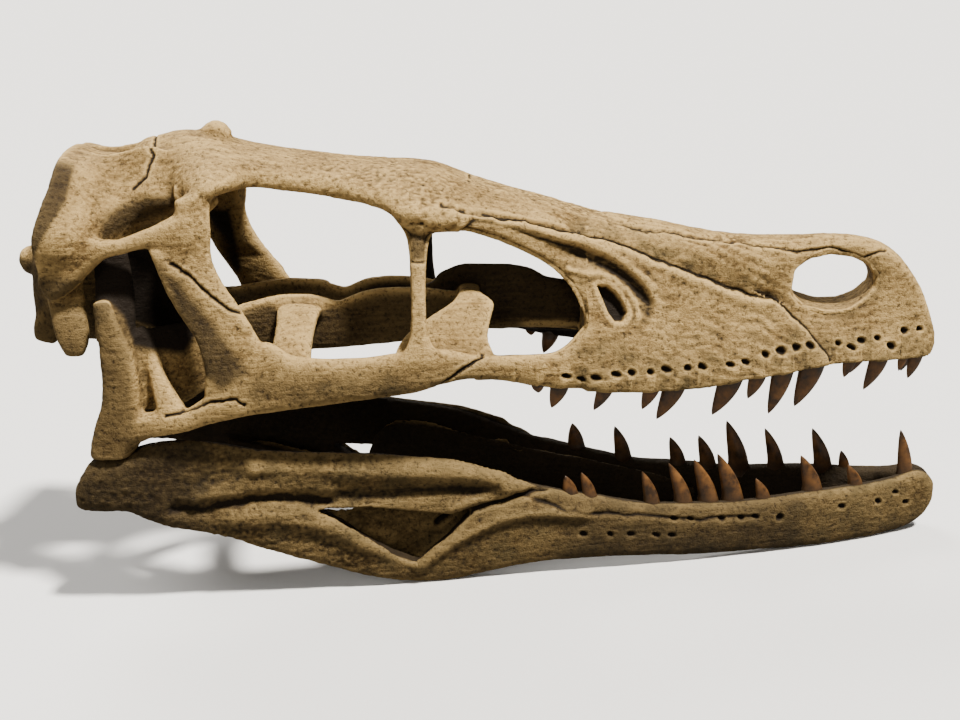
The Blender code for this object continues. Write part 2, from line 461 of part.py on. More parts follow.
# The bones of the skull, as regions of its side view (x, z) between two half-widths, in the order in which
# they are taken out. Zero as the inner half-width spans the mid-plane. The last value is true for a paired bone.
CRANIUM_BONES = [
    ("vomer", [(-18, 2), (-18, 34), (29.4, 34), (29.4, 2)], 0, 2.4, False),
    ("premaxilla", [(140, -10), (140, 46), (116, 46), (114.3, 36), (107, 31.6), (98, 27), (86, 22.6),
                    (75.6, 21.4), (82, 16.8), (88.6, 13), (95.2, 9.8), (98.3, 5), (98.6, -10)], 0, 40, True),
    ("nasal", [(116, 46), (107, 29), (76, 20.6), (69.6, 23.4), (60, 27), (49, 32), (38, 36.4), (16, 41.4),
               (0, 44.6), (-7, 47.4), (-19, 50.4), (-20, 70), (100, 70)], 0, 40, True),
    ("lacrimal", [(-29.6, 52.4), (-6, 50), (-6, 40.6), (-11, 38), (-11, 13.4), (-22.4, 13.4), (-22.4, 38),
                  (-29.6, 46.4)], 12.5, 45, True),
    ("palatine", [(-34, 2), (-34, 32), (9, 32), (9, 2)], 2.9, 27.4, True),
    ("ectopterygoid", [(-60, -2), (-60, 26), (-41, 26), (-41, -2)], 11.6, 31, True),
    ("pterygoid", [(-89, -12), (-89, 21), (-60, 24), (-14, 28), (-14, 2), (-62, 1)], 1, 30, True),
    ("maxilla", [(-11.8, -10), (-11.4, 2.4), (1.2, 10.6), (3, 20), (-9, 38), (-9, 60), (110, 60), (110, -10)],
     0, 45, True),
    ("frontal", [(-93.5, 75), (-92, 58), (-90.5, 50), (-84, 46), (-79, 50.6), (-66, 53), (-60, 48),
                 (-31, 43), (-17, 43), (-17, 75)], 0, 40, True),
    ("postorbital", [(-98.6, 46), (-96.9, 37), (-93, 35.4), (-85, 40.2), (-77, 41), (-74.4, 31.6),
                     (-69.2, 25.2), (-62, 17.4), (-56, 16), (-58, 30), (-62, 55), (-80, 55)], 19, 45, True),
    ("jugal", [(-90, 44), (-77.4, 12), (-77, -2.2), (-71.8, -1.4), (-65, -0.4), (-61.4, -1.9), (-58, -9),
               (10, -9), (10, 16), (-40, 28), (-60, 30)], 27, 45, True),
    ("quadratojugal", [(-50, -12), (-104, -26), (-102, -11), (-94, -6), (-88.6, -2), (-50, 2)], 26, 45, True),
    ("quadrate", [(-110, -26), (-86, -26), (-86, 20), (-96, 27.2), (-104, 26.6)], 22, 45, True),
    ("squamosal", [(-122, 20), (-122, 47), (-106, 48), (-94, 47), (-94, 22)], 20.6, 45, True),
    ("parietal", [(-130, 80), (-130, 46), (-112, 45), (-100, 43), (-86, 42), (-76, 42), (-76, 80)],
     0, 30, False)]

JAW_BONES = [  # the angular is what is left below the opening
    ("dentary", [(145, -15), (16, -15), (13.6, -31.8), (-1, -37.6), (-4, -40), (3, -43), (-8, -49.5),
                 (-16, -56.2), (-14, -70), (145, -70)]),
    ("articular", [(-120, -10), (-120, -60), (-96, -60), (-93, -25), (-95, -10)]),
    ("surangular", [(20, -10), (20, -33), (-1, -37.8), (-12, -38.6), (-20, -36), (-45, -36.4), (-62, -33.6),
                    (-92, -33), (-99, -30), (-99, -10)])]


def cranium():
    """The whole skull above the lower jaw, without teeth."""
    flush = [ASCENDING, LOWER_BAR, JUGAL_RISE, POSTORBITAL_DROP, TEMPORAL_BAR, LACRIMAL, QUADRATE]
    inside = [QUADRATE_WING, PTERYGOID, NUCHAL_WING, ECTOPTERYGOID, PALATINE]
    hanging = [PAROCCIPITAL, TUBER]
    sides = [bar(stations) for stations in flush] + [plate(stations) for stations in inside]
    sides += [plate(stations, upright=(1, 0, 0)) for stations in hanging]
    snout = mesh_object("snout", [shell(SNOUT, 60)])
    naris = prism("naris", NARIS, -REACH, REACH, False)
    boolean(snout, naris, "DIFFERENCE")
    discard(naris)
    grids = [shell(ROOF, 70), shell(BRAINCASE, 40), plate(KEEL), plate(CONDYLE), plate(BOSS)]
    rest = mesh_object("cranium", grids + sides + [mirrored(side) for side in sides])
    joined = bmesh.new()
    joined.from_mesh(rest.data)
    joined.from_mesh(snout.data)
    joined.to_mesh(rest.data)
    joined.free()
    discard(snout)
    return rest


def reduced(obj, voxel, rounds, triangles):
    """Fuses an object's shells into one body with soft joins, at a set number of triangles."""
    fuse = obj.modifiers.new("fuse", "REMESH")
    fuse.mode = "VOXEL"
    fuse.voxel_size = voxel * MM
    soften = obj.modifiers.new("soften", "SMOOTH")
    soften.factor = 0.5
    soften.iterations = rounds
    applied(obj)
    obj.data = bodies(obj.data)[0]
    thin = obj.modifiers.new("thin", "DECIMATE")
    thin.ratio = triangles / (2 * len(obj.data.polygons))
    thin.use_collapse_triangulate = True
    applied(obj)
    return obj


def jaw_half(side):
    """The outer bones of one half of the lower jaw, whole, with the opening through its outer face."""
    half = mesh_object("jaw", [upright(JAW, side, JAW_WALL, 0, JAW_RINGS, JAW_SIDES)])
    opening = prism("jaw_opening", JAW_OPENING, 5, REACH)
    boolean(half, opening, "DIFFERENCE")
    discard(opening)
    edges = sorted([side * SUTURE_GAP / 2, -side * REACH])
    other_side = prism("other_side", EVERYWHERE, edges[0], edges[1], False)
    boolean(half, other_side, "DIFFERENCE")
    discard(other_side)
    return half


def wear(bones):
    """Wears the lowest edges of the jaw's bones flat, level with the ground on which the jaw lies."""
    pitch = math.radians(REST_PITCH)
    heights = [vert.co.z * math.cos(pitch) - vert.co.x * math.sin(pitch)
               for bone in bones for vert in bone.data.vertices]
    level = min(heights) / MM + GROUND_WEAR
    edge = [(x, (level + x * math.sin(pitch)) / math.cos(pitch)) for x in (-REACH, REACH)]
    ground = prism("ground", edge + [(REACH, -REACH), (-REACH, -REACH)], -REACH, REACH, False)
    for bone in bones:
        boolean(bone, ground, "DIFFERENCE")
    discard(ground)


def splenial(side, tag):
    """The inner plate of one half of the lower jaw, which shows through the opening."""
    rows = [(x, low, high, table(JAW, x, 3)) for x, low, high in SPLENIAL]
    walls = [(-REACH, SPLENIAL_THICKNESS), (REACH, SPLENIAL_THICKNESS)]
    grid = upright(rows, side, walls, SPLENIAL_INSET, SPLENIAL_RINGS, SPLENIAL_SIDES)
    return mesh_object("splenial" + tag, [grid])


def clear_of(obj, others):
    """Trims an object back from its neighbours by the suture gap."""
    for other in others:
        room = helper("room", other.data.copy())
        grown(room, math.sqrt(2) * SUTURE_GAP)
        boolean(obj, room, "DIFFERENCE")
        discard(room)
    obj.data = bodies(obj.data)[0]


def add_teeth(bone, rows, side, upward):
    """Joins a row of teeth to the jaw bone that they grow from."""
    blades = [tooth(x, side * (half - TOOTH_INSET * base), root, length * upward, base, lean)
              for x, base, length, lean, root, half in rows]
    teeth = mesh_object("teeth", blades)
    boolean(bone, teeth, "UNION")
    discard(teeth)


def tidy(bone):
    """Joins the nearly flat slivers that the cuts leave."""
    flat = bone.modifiers.new("flat", "DECIMATE")
    flat.decimate_type = "DISSOLVE"
    flat.angle_limit = math.radians(FLAT_ANGLE)
    applied(bone)


def material(name, colour, roughness):
    """A plain material for the bones."""
    made = bpy.data.materials.new(name)
    made.use_nodes = True
    shader = made.node_tree.nodes["Principled BSDF"]
    shader.inputs["Base Color"].default_value = colour
    shader.inputs["Roughness"].default_value = roughness
    shader.inputs["Metallic"].default_value = 0.0
    return made


def build_cranium():
    """The bones of the skull, in the order in which they come out of the whole."""
    whole = reduced(cranium(), CRANIUM_VOXEL, CRANIUM_ROUNDS, CRANIUM_TRIANGLES)
    bones = []
    for name, outline, inner, outer, split in CRANIUM_BONES:
        bones += extract(whole, name, outline, inner, outer, split)
    whole.data = bodies(whole.data)[0]
    whole.name = "braincase"
    return bones + [whole]


def build_jaw(side, tag, joint_bones):
    """The bones of one half of the lower jaw, clear of the skull's bones at the joint."""
    whole = jaw_half(side)
    clear_of(whole, joint_bones)
    bones = [splenial(side, tag)]
    for name, outline in JAW_BONES:
        parts = extract(whole, name, outline, 0, 50, False)
        parts[0].name = name + tag
        bones += parts
    whole.data = bodies(whole.data)[0]
    whole.name = "angular" + tag
    return bones + [whole]


def stand(bones):
    """Hangs the bones on the stance, which lays the jaw level with the origin at the middle of the ground."""
    stance = bpy.data.objects.new("stance", None)
    bpy.context.scene.collection.objects.link(stance)
    for bone in bones:
        bone.parent = stance
    stance.rotation_euler = (0, math.radians(REST_PITCH), 0)
    bpy.context.view_layer.update()
    points = np.array([stance.matrix_world @ vert.co for bone in bones for vert in bone.data.vertices])
    low, high = points.min(0), points.max(0)
    stance.location = (-(low[0] + high[0]) / 2, -(low[1] + high[1]) / 2, -low[2])


def main():
    for obj in list(bpy.data.objects):
        bpy.data.objects.remove(obj)
    bones = build_cranium()
    by_name = {bone.name: bone for bone in bones}
    jaws = []
    for side, tag in SIDES:
        jaw = build_jaw(side, tag, [by_name["quadrate" + tag], by_name["quadratojugal" + tag]])
        by_name.update({bone.name: bone for bone in jaw})
        front = [row for row in UPPER_TEETH if row[0] > PREMAXILLA_FROM]
        add_teeth(by_name["premaxilla" + tag], front, side, -1)
        add_teeth(by_name["maxilla" + tag], UPPER_TEETH[:-len(front)], side, -1)
        add_teeth(by_name["dentary" + tag], LOWER_TEETH[tag], side, 1)
        jaws += jaw
    lowest = [bone for bone in jaws if bone.name.startswith(LOWEST)]
    wear(lowest)
    for bone in bones + jaws:
        if bone not in lowest:
            tidy(bone)
    warm = material("fossil_bone", BONE, 0.72)
    stained = material("stained_bone", DARK_BONE, 0.75)
    for bone in bones + jaws:
        bone.data.materials.clear()
        bone.data.materials.append(stained if bone.name.startswith(STAINED) else warm)
    stand(bones + jaws)


if __name__ == "__main__":
    main()
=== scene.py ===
"""Skull of a Velociraptor-type dinosaur as fossil bone, with its lower jaw open, resting on the jaw.

The skull and the two halves of the lower jaw are surfaces worked out whole: bars, plates and shells that
run into each other are fused and softened, relief is pressed into them, and they are parted along the sutures
into single bones. The teeth are surfaces of their own. Tables are in millimetres in the skull's own frame:
+X towards the snout, +Y to the animal's left, +Z up, with X = 0 just ahead of the lacrimals.
"""

import math

import bpy
import numpy as np
from bpy.props import FloatProperty, FloatVectorProperty, PointerProperty
from mathutils import Matrix, Vector


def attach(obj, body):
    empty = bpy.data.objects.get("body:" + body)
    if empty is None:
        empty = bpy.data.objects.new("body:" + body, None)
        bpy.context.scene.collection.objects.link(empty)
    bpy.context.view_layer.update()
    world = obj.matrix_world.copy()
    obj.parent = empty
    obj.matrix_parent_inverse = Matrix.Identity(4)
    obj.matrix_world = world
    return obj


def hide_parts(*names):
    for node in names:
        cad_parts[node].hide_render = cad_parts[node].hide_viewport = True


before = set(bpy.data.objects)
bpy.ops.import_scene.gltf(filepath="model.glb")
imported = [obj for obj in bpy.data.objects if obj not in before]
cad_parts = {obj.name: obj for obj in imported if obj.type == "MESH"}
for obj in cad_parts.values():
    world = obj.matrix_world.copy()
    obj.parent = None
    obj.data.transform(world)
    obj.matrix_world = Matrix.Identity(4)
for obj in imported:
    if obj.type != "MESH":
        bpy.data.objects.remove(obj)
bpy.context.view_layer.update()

bl_info = {
    "name": "Dinosaur skull fossil",
    "version": (1, 0, 0),
    "blender": (4, 5, 0),
    "location": "3D View > Sidebar > Skull",
    "description": "Builds the fossil skull of a small meat-eating dinosaur, bone by bone",
    "category": "Add Mesh",
}

MM = 0.001
REST_PITCH = 2.9  # degrees, nose down, of the skull on the ground
STANCE = (-2.347, 0.092, 58.218)  # where the skull's own origin stands in the row's frame

# ---------------------------------------------------------------- outlines of the whole skull

# Half-width of the side wall, low at the tooth row and jugal, and at the roof's edge: (x, half-width).
WALL_LOW = [(-118, 30), (-100, 33), (-75, 35.5), (-60, 36.5), (-40, 36), (-15, 33.5), (0, 31), (17, 28.3),
            (33, 26), (45, 24), (61, 20.5), (73, 18.5), (90, 16), (107, 12.5), (119, 9), (128, 4)]
WALL_TOP = [(-118, 26), (-85, 30), (-76, 29), (-70, 26), (-65, 20), (-55, 16.5), (-40, 15.5), (-28, 18.5),
            (-22, 22), (-14, 22), (0, 19.5), (17, 17), (34, 14.5), (45, 13), (62, 11), (73, 9.5), (90, 7),
            (128, 2)]
ROOF_EDGE = [(-118, 60), (-80, 60), (-70, 55), (-40, 53), (-20, 47), (0, 44), (20, 39), (37, 34), (60, 32),
             (128, 32)]
WALL_BEND = 10.0  # height above which the side wall leans inwards

# Thickness of the lower jaw's outer wall: (x, thickness).
JAW_WALL = [(-112, 5), (-106, 8.6), (-94, 8.4), (-86, 5.6), (-40, 5.6), (20, 5.8), (76, 6.4), (110, 6.6),
            (134, 5)]

JAW = [  # x, lower edge, upper edge, outer half-width
    (-111.4, -33, -28, 30.5), (-110, -34.2, -25, 31), (-107, -34.6, -20.4, 31.6), (-103, -34.6, -18.8, 32),
    (-97, -34.8, -18.2, 32.3), (-93, -36.4, -16, 32.2), (-86, -39, -13.9, 31.8), (-78, -41, -13.7, 31),
    (-69, -43.6, -15.4, 30), (-60, -47.2, -17.4, 29.4), (-46, -52.2, -18.5, 27.8), (-37, -55.2, -19.1, 27),
    (-27, -58, -19.9, 26), (-17, -59.4, -21.1, 25), (-7, -58.8, -22.7, 24.3), (6, -56.2, -27.1, 23.3),
    (17, -54.4, -30.8, 22.5), (34, -53.4, -34.5, 21.3), (47, -53.5, -37.1, 20.3), (63, -53.8, -37.8, 18.6),
    (76, -53.8, -38.2, 16.7), (93, -53.6, -36.8, 14), (106, -53.2, -36, 11.3), (115, -52.6, -35.6, 8.9),
    (122, -51.8, -34.8, 6.8), (128, -50.4, -33.2, 5.2), (132.2, -47.6, -34.4, 4), (134.6, -43.6, -37.4, 2.6)]

SNOUT = [  # x, corners (y, z) from the top of the mid-plane to the palate
    (28.5, [(0, 44.6), (9, 43), (15.4, 38.6), (22.4, 20), (26.4, 5), (26.2, -0.5), (23.2, 0.2), (20, 8),
            (0, 9)]),
    (38, [(0, 43), (8.5, 41.3), (13.9, 36.2), (20.6, 19), (24.8, 5), (24.9, -1.2), (21.8, -0.5),
          (18.5, 7.5), (0, 9)]),
    (50, [(0, 41), (7.6, 39.4), (12.3, 34), (17.6, 18), (22, 6), (22.7, -1.6), (19.6, -0.8), (16.3, 7),
          (0, 9)]),
    (62, [(0, 38.7), (6.8, 37.2), (10.9, 32.2), (15.3, 17), (19.5, 6), (20.3, -1.4), (17.2, -0.8),
          (14, 6.5), (0, 8)]),
    (74, [(0, 37), (6, 35.8), (9.4, 31.4), (12.8, 17), (17, 7), (18.3, 0.2), (15.2, 0.8), (12, 6.5), (0, 8)]),
    (86, [(0, 36.9), (5, 35.9), (7.6, 31.8), (10.6, 17), (14.6, 8), (16.5, 1.5), (13.4, 2), (10.4, 7),
          (0, 8)]),
    (96, [(0, 37.2), (4.2, 36.3), (6.2, 32.8), (9, 17), (12.6, 9), (14.7, 3.2), (11.7, 3.6), (9, 7.5),
          (0, 8)]),
    (106, [(0, 36.8), (3.7, 35.8), (5.4, 32), (7.8, 17), (10.8, 9), (12.6, 3.4), (9.8, 3.8), (7.4, 7.5),
           (0, 8)]),
    (114, [(0, 34.4), (3.4, 33.2), (4.8, 29.4), (6.9, 16), (9, 8.5), (10.3, 3), (7.8, 3.4), (5.6, 7),
           (0, 7.5)]),
    (120, [(0, 29.3), (3, 28), (4.2, 24.6), (5.8, 14), (7.3, 8), (8.2, 2.8), (6, 3.2), (4.2, 6), (0, 6.5)]),
    (125.3, [(0, 21.6), (2.4, 20.6), (3.4, 18), (4.6, 11), (5.4, 7), (5.9, 2.5), (4.3, 2.9), (3, 5),
             (0, 5.5)]),
    (129, [(0, 13), (1.6, 12.4), (2.4, 11), (3, 8), (3.5, 5.6), (3.7, 2.6), (2.8, 2.8), (1.9, 4), (0, 4.4)]),
    (130.8, [(0, 8.4), (0.5, 8.2), (0.8, 7.6), (1, 6.6), (1.2, 5.4), (1.3, 4.2), (0.9, 4.3), (0.6, 4.6),
             (0, 4.8)])]

ROOF = [  # x, corners (y, z): top of the mid-plane, shoulder, edge, underside, underside at the mid-plane
    (-99, [(0, 58), (4, 56), (8, 50), (6, 47), (0, 47)]),
    (-93, [(0, 63.6), (6, 60.4), (12.5, 52), (9, 48), (0, 48)]),
    (-88, [(0, 65.2), (8, 61.6), (14, 54), (11, 49.5), (0, 50)]),
    (-82, [(0, 66.3), (9, 63.4), (17, 55), (14, 50.5), (0, 52)]),
    (-76, [(0, 66), (11, 63.6), (23.5, 55.6), (21, 51), (0, 54)]),
    (-71, [(0, 65), (12, 62.8), (26.4, 56.4), (24, 52), (0, 55)]),
    (-66.5, [(0, 63.5), (11, 61.9), (24, 57.2), (21, 53), (0, 55.4)]),
    (-61, [(0, 62), (9, 61.2), (18, 57.6), (16, 53.4), (0, 55.5)]),
    (-52, [(0, 60.6), (8, 60), (16, 56.6), (14.5, 52.2), (0, 54.8)]),
    (-40, [(0, 59.2), (8, 58.6), (15.6, 55), (14, 50.4), (0, 54)]),
    (-28, [(0, 58.2), (9, 57.4), (18.6, 52.8), (17, 48.4), (0, 53)]),
    (-20, [(0, 57.8), (10, 56.8), (22, 50.8), (20.5, 45.4), (0, 52)]),
    (-12, [(0, 56.8), (10, 55.6), (21.8, 49), (20, 44.4), (0, 51)]),
    (0, [(0, 52.6), (9, 51.4), (19.5, 45.6), (18, 41.6), (0, 47)]),
    (11, [(0, 49.6), (8.5, 48.4), (18, 42.8), (16.5, 38.2), (0, 44)]),
    (20, [(0, 47.3), (8, 46), (16.8, 40.6), (15.5, 35), (0, 41)]),
    (30, [(0, 44.4), (8, 43), (15.2, 38), (14.5, 31), (0, 36)]),
    (36, [(0, 42.8), (7.5, 41.4), (13.8, 36.4), (13, 30), (0, 33)])]

BRAINCASE = [  # x, corners (y, z) from the crest to the skull's base
    (-125.4, [(0, 34.6), (3, 33.4), (5, 30), (5.6, 26), (6.4, 20), (5, 11), (0, 10)]),
    (-122, [(0, 40.5), (6, 38), (9.5, 32), (10, 26), (9.5, 20), (7, 9.5), (0, 8.5)]),
    (-117.5, [(0, 47.5), (8, 43.5), (13, 35), (13, 28), (12.5, 21), (8, 10), (0, 9)]),
    (-113.4, [(0, 58), (8, 53), (17, 45), (15, 36), (13.5, 24), (8.5, 10), (0, 9)]),
    (-110.4, [(0, 61.9), (9, 57.5), (18, 50.5), (22, 43), (14, 29), (9, 10), (0, 9)]),
    (-104, [(0, 60.3), (8, 57), (15, 50.5), (19, 42.4), (13.5, 29), (9, 10), (0, 8)]),
    (-97, [(0, 60.4), (7, 57.6), (13, 51.4), (15, 44.4), (12.5, 29), (9, 9), (0, 7)]),
    (-91, [(0, 62.4), (7, 59), (13.4, 51.6), (14, 45), (11.5, 29), (9, 8), (0, 6)]),
    (-86, [(0, 60), (7, 56), (12, 50), (12, 44), (9.5, 31), (7, 10), (0, 8)]),
    (-82.5, [(0, 55), (5, 52), (8, 46), (8, 40), (7, 30), (5, 14), (0, 12)])]

ASCENDING = [(-12, 42, -10.5, 48, 3.6), (-4, 42.2, -2, 47.5, 3.8), (4, 39.6, 7, 45, 4),
             (12, 36.2, 17, 42, 4.2), (19.4, 31.8, 27, 38, 4.6), (24.6, 26.6, 34, 32, 4.8),
             (28, 20, 38, 24, 4.8)]
LOWER_BAR = [(-96, -15.5, -97, -5.2, 4.6), (-88, -11.6, -88, -4.3, 4.6), (-80, -9.8, -80, -3.7, 4.8),
             (-73, -7.4, -73, 0.6, 5), (-66, -5.7, -65.2, 9, 5), (-58.3, -4.2, -57, 15.3, 5),
             (-50, -3, -49.2, 11.8, 5.4), (-40, -1.8, -40.4, 10.9, 5.8), (-30, -0.7, -29.7, 11.1, 5.8),
             (-18, 0.8, -18.4, 12.5, 5.4), (-10.6, 2.8, -10.6, 12.7, 5), (-2.5, 4.1, -2.5, 11.2, 4.6),
             (5.4, 3.3, 5.4, 10.4, 4.6), (14, 1.3, 14, 10.1, 4.8), (20, 0.3, 20, 10.4, 5),
             (26, -0.3, 25, 13.4, 5.2), (32, -0.6, 31, 20, 5.4)]
JUGAL_RISE = [(-73.4, 0, -57, 14, 4.8), (-72.8, 8, -59.8, 18.6, 4.6), (-74.8, 16, -63.8, 23.6, 4),
              (-79.2, 23.3, -69.4, 27, 3.6), (-82.4, 29.6, -74.6, 32, 3.2), (-84.6, 36, -79.8, 37, 2.6),
              (-86, 39.6, -82.4, 40, 2.2)]
POSTORBITAL_DROP = [(-79, 52, -69, 56, 5.6), (-79, 47, -70.4, 49.6, 5.4), (-81.2, 42, -70.4, 43.4, 5),
                    (-82, 36.6, -70.2, 38, 4.6), (-78.4, 30.4, -68.8, 33, 4.2),
                    (-72.6, 25.4, -66.4, 28.4, 3.8), (-67, 21, -63, 23.6, 3.2),
                    (-62.4, 17.8, -60, 19.4, 2.4)]
TEMPORAL_BAR = [(-70.6, 40, -71, 50.4, 5.6), (-76, 38.8, -76.6, 49.8, 5.8), (-82, 39.7, -82.4, 46.8, 5.2),
                (-87.4, 39.8, -88, 44.4, 4.8), (-93, 38.3, -93.6, 42.3, 4.8), (-98.4, 36.6, -99, 42, 5.2),
                (-103.4, 32, -103, 43.4, 6), (-108.8, 27, -106.6, 45, 6.4), (-114, 25, -110.4, 44.4, 6),
                (-117, 29.6, -114, 41, 4.6)]
LACRIMAL = [(-28, 50, -8, 47.6, 4.6), (-23.6, 46.6, -10.6, 44.6, 4.8), (-20, 42, -13, 41, 4.8),
            (-18.9, 37, -13.9, 37, 4.6), (-18.6, 30, -14.3, 30, 4.2), (-18.4, 22, -14.1, 22, 4),
            (-18.8, 16, -13.4, 16, 4.2), (-20.4, 12, -11.2, 12, 4.2), (-22, 9.4, -9.4, 9.4, 4.2)]
QUADRATE = [(-102, 25.4, -97.8, 26, 3.8), (-101.4, 20, -95.2, 21, 4.4), (-101, 12, -92.4, 13, 5.2),
            (-101, 4, -91, 5, 5.6), (-101.8, -2.5, -91, -3.4, 6.4), (-104, -8.4, -90, -8.6, 7.6),
            (-105.8, -13.6, -91.8, -13.4, 9), (-106.4, -18.6, -95.2, -18, 9.4)]

QUADRATE_WING = [(-98, -31.4, 5, 9, 1.7), (-91, -27.4, 5.6, 11.4, 1.4), (-83, -22, 6, 12, 1.3),
                 (-75, -16.4, 8.6, 9.6, 1.4), (-66, -12, 12.6, 7, 1.6)]
PTERYGOID = [(-77, -17.5, 8, 8.6, 1.4), (-66, -12, 13.4, 6.6, 1.6), (-56, -9.6, 14.6, 7.6, 1.7),
             (-48, -8.6, 14, 8.2, 1.7), (-39, -7.8, 13.2, 7, 1.7), (-30, -7, 15, 8.2, 1.7),
             (-20, -6, 15.8, 8, 1.7), (-10, -4.4, 16, 6.4, 1.7), (-2, -2, 16, 5, 1.7)]
ECTOPTERYGOID = [(-50, -8, 17, 2.4, 6.6), (-50, -15, 18, 2.4, 6), (-50.4, -22, 14, 2.3, 5.4),
                 (-50.6, -29, 8.6, 2.3, 5.6), (-50, -33, 5.4, 2.6, 6)]
PALATINE = [(-9.4, -28, 5.6, 1.8, 12.8), (-9.6, -26.4, 9.6, 1.8, 13.6), (-9, -23.2, 14.4, 1.7, 11.4),
            (-4.8, -19.4, 19.2, 1.6, 8.2), (-2.2, -16.4, 21.6, 1.6, 6), (-2.8, -12, 22.8, 1.6, 3.4),
            (-3, -5, 22.4, 1.6, 3), (-3.4, 1, 22, 1.6, 4)]
KEEL = [(-17, 0, 19, 4, 1.5), (-13, 0, 18, 7, 1.5), (-8, 0, 18.4, 9, 1.6), (-3, 0, 19, 10, 1.6),
        (4, 0, 19.2, 9.9, 1.6), (11, 0, 19, 9.4, 1.6), (17, 0, 17.6, 8, 1.6), (25, 0, 16.8, 7.3, 1.6),
        (32, 0, 16, 7, 1.6)]
NUCHAL_WING = [(-110, -27.4, 38.6, 5.6, 2.4), (-110.4, -24, 42.4, 6.4, 2.6), (-110.8, -18, 47.6, 7.6, 2.6),
               (-111.2, -11, 53, 7.8, 2.8), (-111.4, -4, 56.6, 5.4, 2.8), (-111.4, 2, 57, 5, 2.8)]
PAROCCIPITAL = [(-114, -7, 34, 5, 3.2), (-113, -14, 32, 5.4, 3), (-111.6, -20.4, 28, 5, 2.6),
                (-110, -24.6, 21, 4.8, 2.4), (-109, -26, 14.4, 4.4, 2.2), (-109, -26, 9.6, 2.4, 1.6)]
TUBER = [(-118, -6, 19, 4, 3.6), (-121.4, -7, 12.6, 4.2, 3.4), (-122.6, -7.4, 8, 3, 2.6)]
CONDYLE = [(-122, 0, 29.6, 3.8, 4.4), (-125.6, 0, 29.8, 4.3, 4.4), (-128.2, 0, 30.6, 3.4, 3.6),
           (-129.9, 0, 31, 1.6, 1.8)]
BOSS = [(-76, 0, 64, 2.6, 4), (-72.4, 0, 65.9, 3.1, 3.4), (-69.4, 0, 63.8, 2.4, 3)]

NARIS = [(86.8, 22.4), (87.6, 28.6), (92, 31.4), (97.8, 32.6), (104, 31.8), (108.6, 29.4), (111, 26),
         (110.8, 23), (108, 19.8), (103.3, 17.2), (97, 17), (91, 18.6)]

# Teeth: x, base, length, lean of the tip (back is below zero), height of the jaw's edge, its half-width.
UPPER_TEETH = [(15.6, 3.3, 1.8, 0.2, 1.6, 28.5), (21.7, 5, 5.4, -2.1, 1.1, 27.4),
               (34.4, 4.7, 5.8, -3.1, 0.3, 25.6), (47.4, 4.8, 5.8, -2.5, -0.3, 23.2),
               (53.9, 6.4, 8.6, -4.6, -0.5, 21.9), (69.8, 6.8, 8.8, -4.5, -0.1, 19),
               (77.5, 4.8, 6, -2.4, 1.1, 17.6), (84.8, 6, 11, -3.3, 2.3, 16.6),
               (93.4, 7, 10.6, -4.2, 3.3, 15.1), (104, 3.8, 4.6, -1.3, 4.2, 12.9),
               (113.2, 5.4, 8.2, -3.7, 3.9, 10.4), (120.3, 2.8, 3.8, -0.9, 3.6, 7.9),
               (124.9, 4.2, 6.2, -1.7, 3.4, 5.6)]
LOWER_RIGHT_TEETH = [(25.6, 4, 4.2, -1.5, -33.4, 21.4), (31.1, 3.8, 5.6, -2.5, -34.3, 21),
                     (49.1, 4.2, 7.6, -3.1, -37.4, 19), (58.3, 4.8, 9.4, -4.6, -37.8, 17.8),
                     (65.7, 5.4, 10, -4.6, -38, 16.7), (73, 5.8, 11.2, -5, -38.3, 15.6),
                     (81.9, 3.8, 4.6, -2.4, -37.7, 14.4), (96.8, 5.4, 8.4, -4, -36.7, 11.8),
                     (110, 4.2, 5, -2.6, -36.4, 8.6), (125.5, 4.4, 11, -2.4, -34.6, 4.6)]
LOWER_LEFT_TEETH = [(29.8, 5, 6, -1.3, -34, 21), (44.2, 4.8, 7.9, -2.8, -36.8, 19.4),
                    (61, 4.6, 6.6, -2.7, -38, 17.4), (70, 4.8, 7.6, -3.2, -38.2, 16.2),
                    (79.1, 6, 12, -4.4, -38.2, 14.8), (90.2, 4.7, 9.6, -4, -37.2, 13),
                    (103.8, 5.2, 10, -4, -36.6, 10.4), (110.1, 3.3, 4.4, -1.3, -36.4, 8.6)]

SIDES = [(-1, "_right"), (1, "_left")]
LOWER_TEETH = {"_right": LOWER_RIGHT_TEETH, "_left": LOWER_LEFT_TEETH}
PREMAXILLA_FROM = 98.4  # x where the premaxilla's row of teeth starts
TOOTH_INSET = 0.54  # of a tooth's base, from the outer face of the jaw to the tooth's middle

# The opening in the outer face of the lower jaw.
JAW_OPENING = [(-47, -35), (-31, -35), (-12, -37.6), (-1.6, -37), (-9.5, -46), (-17.4, -53.2), (-25, -50),
               (-33, -44.6), (-41, -38.6)]
SPLENIAL = [(-79, -36.6, -33), (-70, -39.4, -34.6), (-60, -43.6, -36.8), (-48, -48, -38.6),
            (-39, -51.4, -38.8), (-35, -53, -37), (-32, -54, -30), (-26, -55.4, -26.4), (-16, -56, -26.6),
            (-6, -55.6, -28.4), (6, -53.6, -31), (20, -51.8, -34), (40, -51, -37.6), (56, -49.8, -41),
            (66, -47.4, -44.4)]

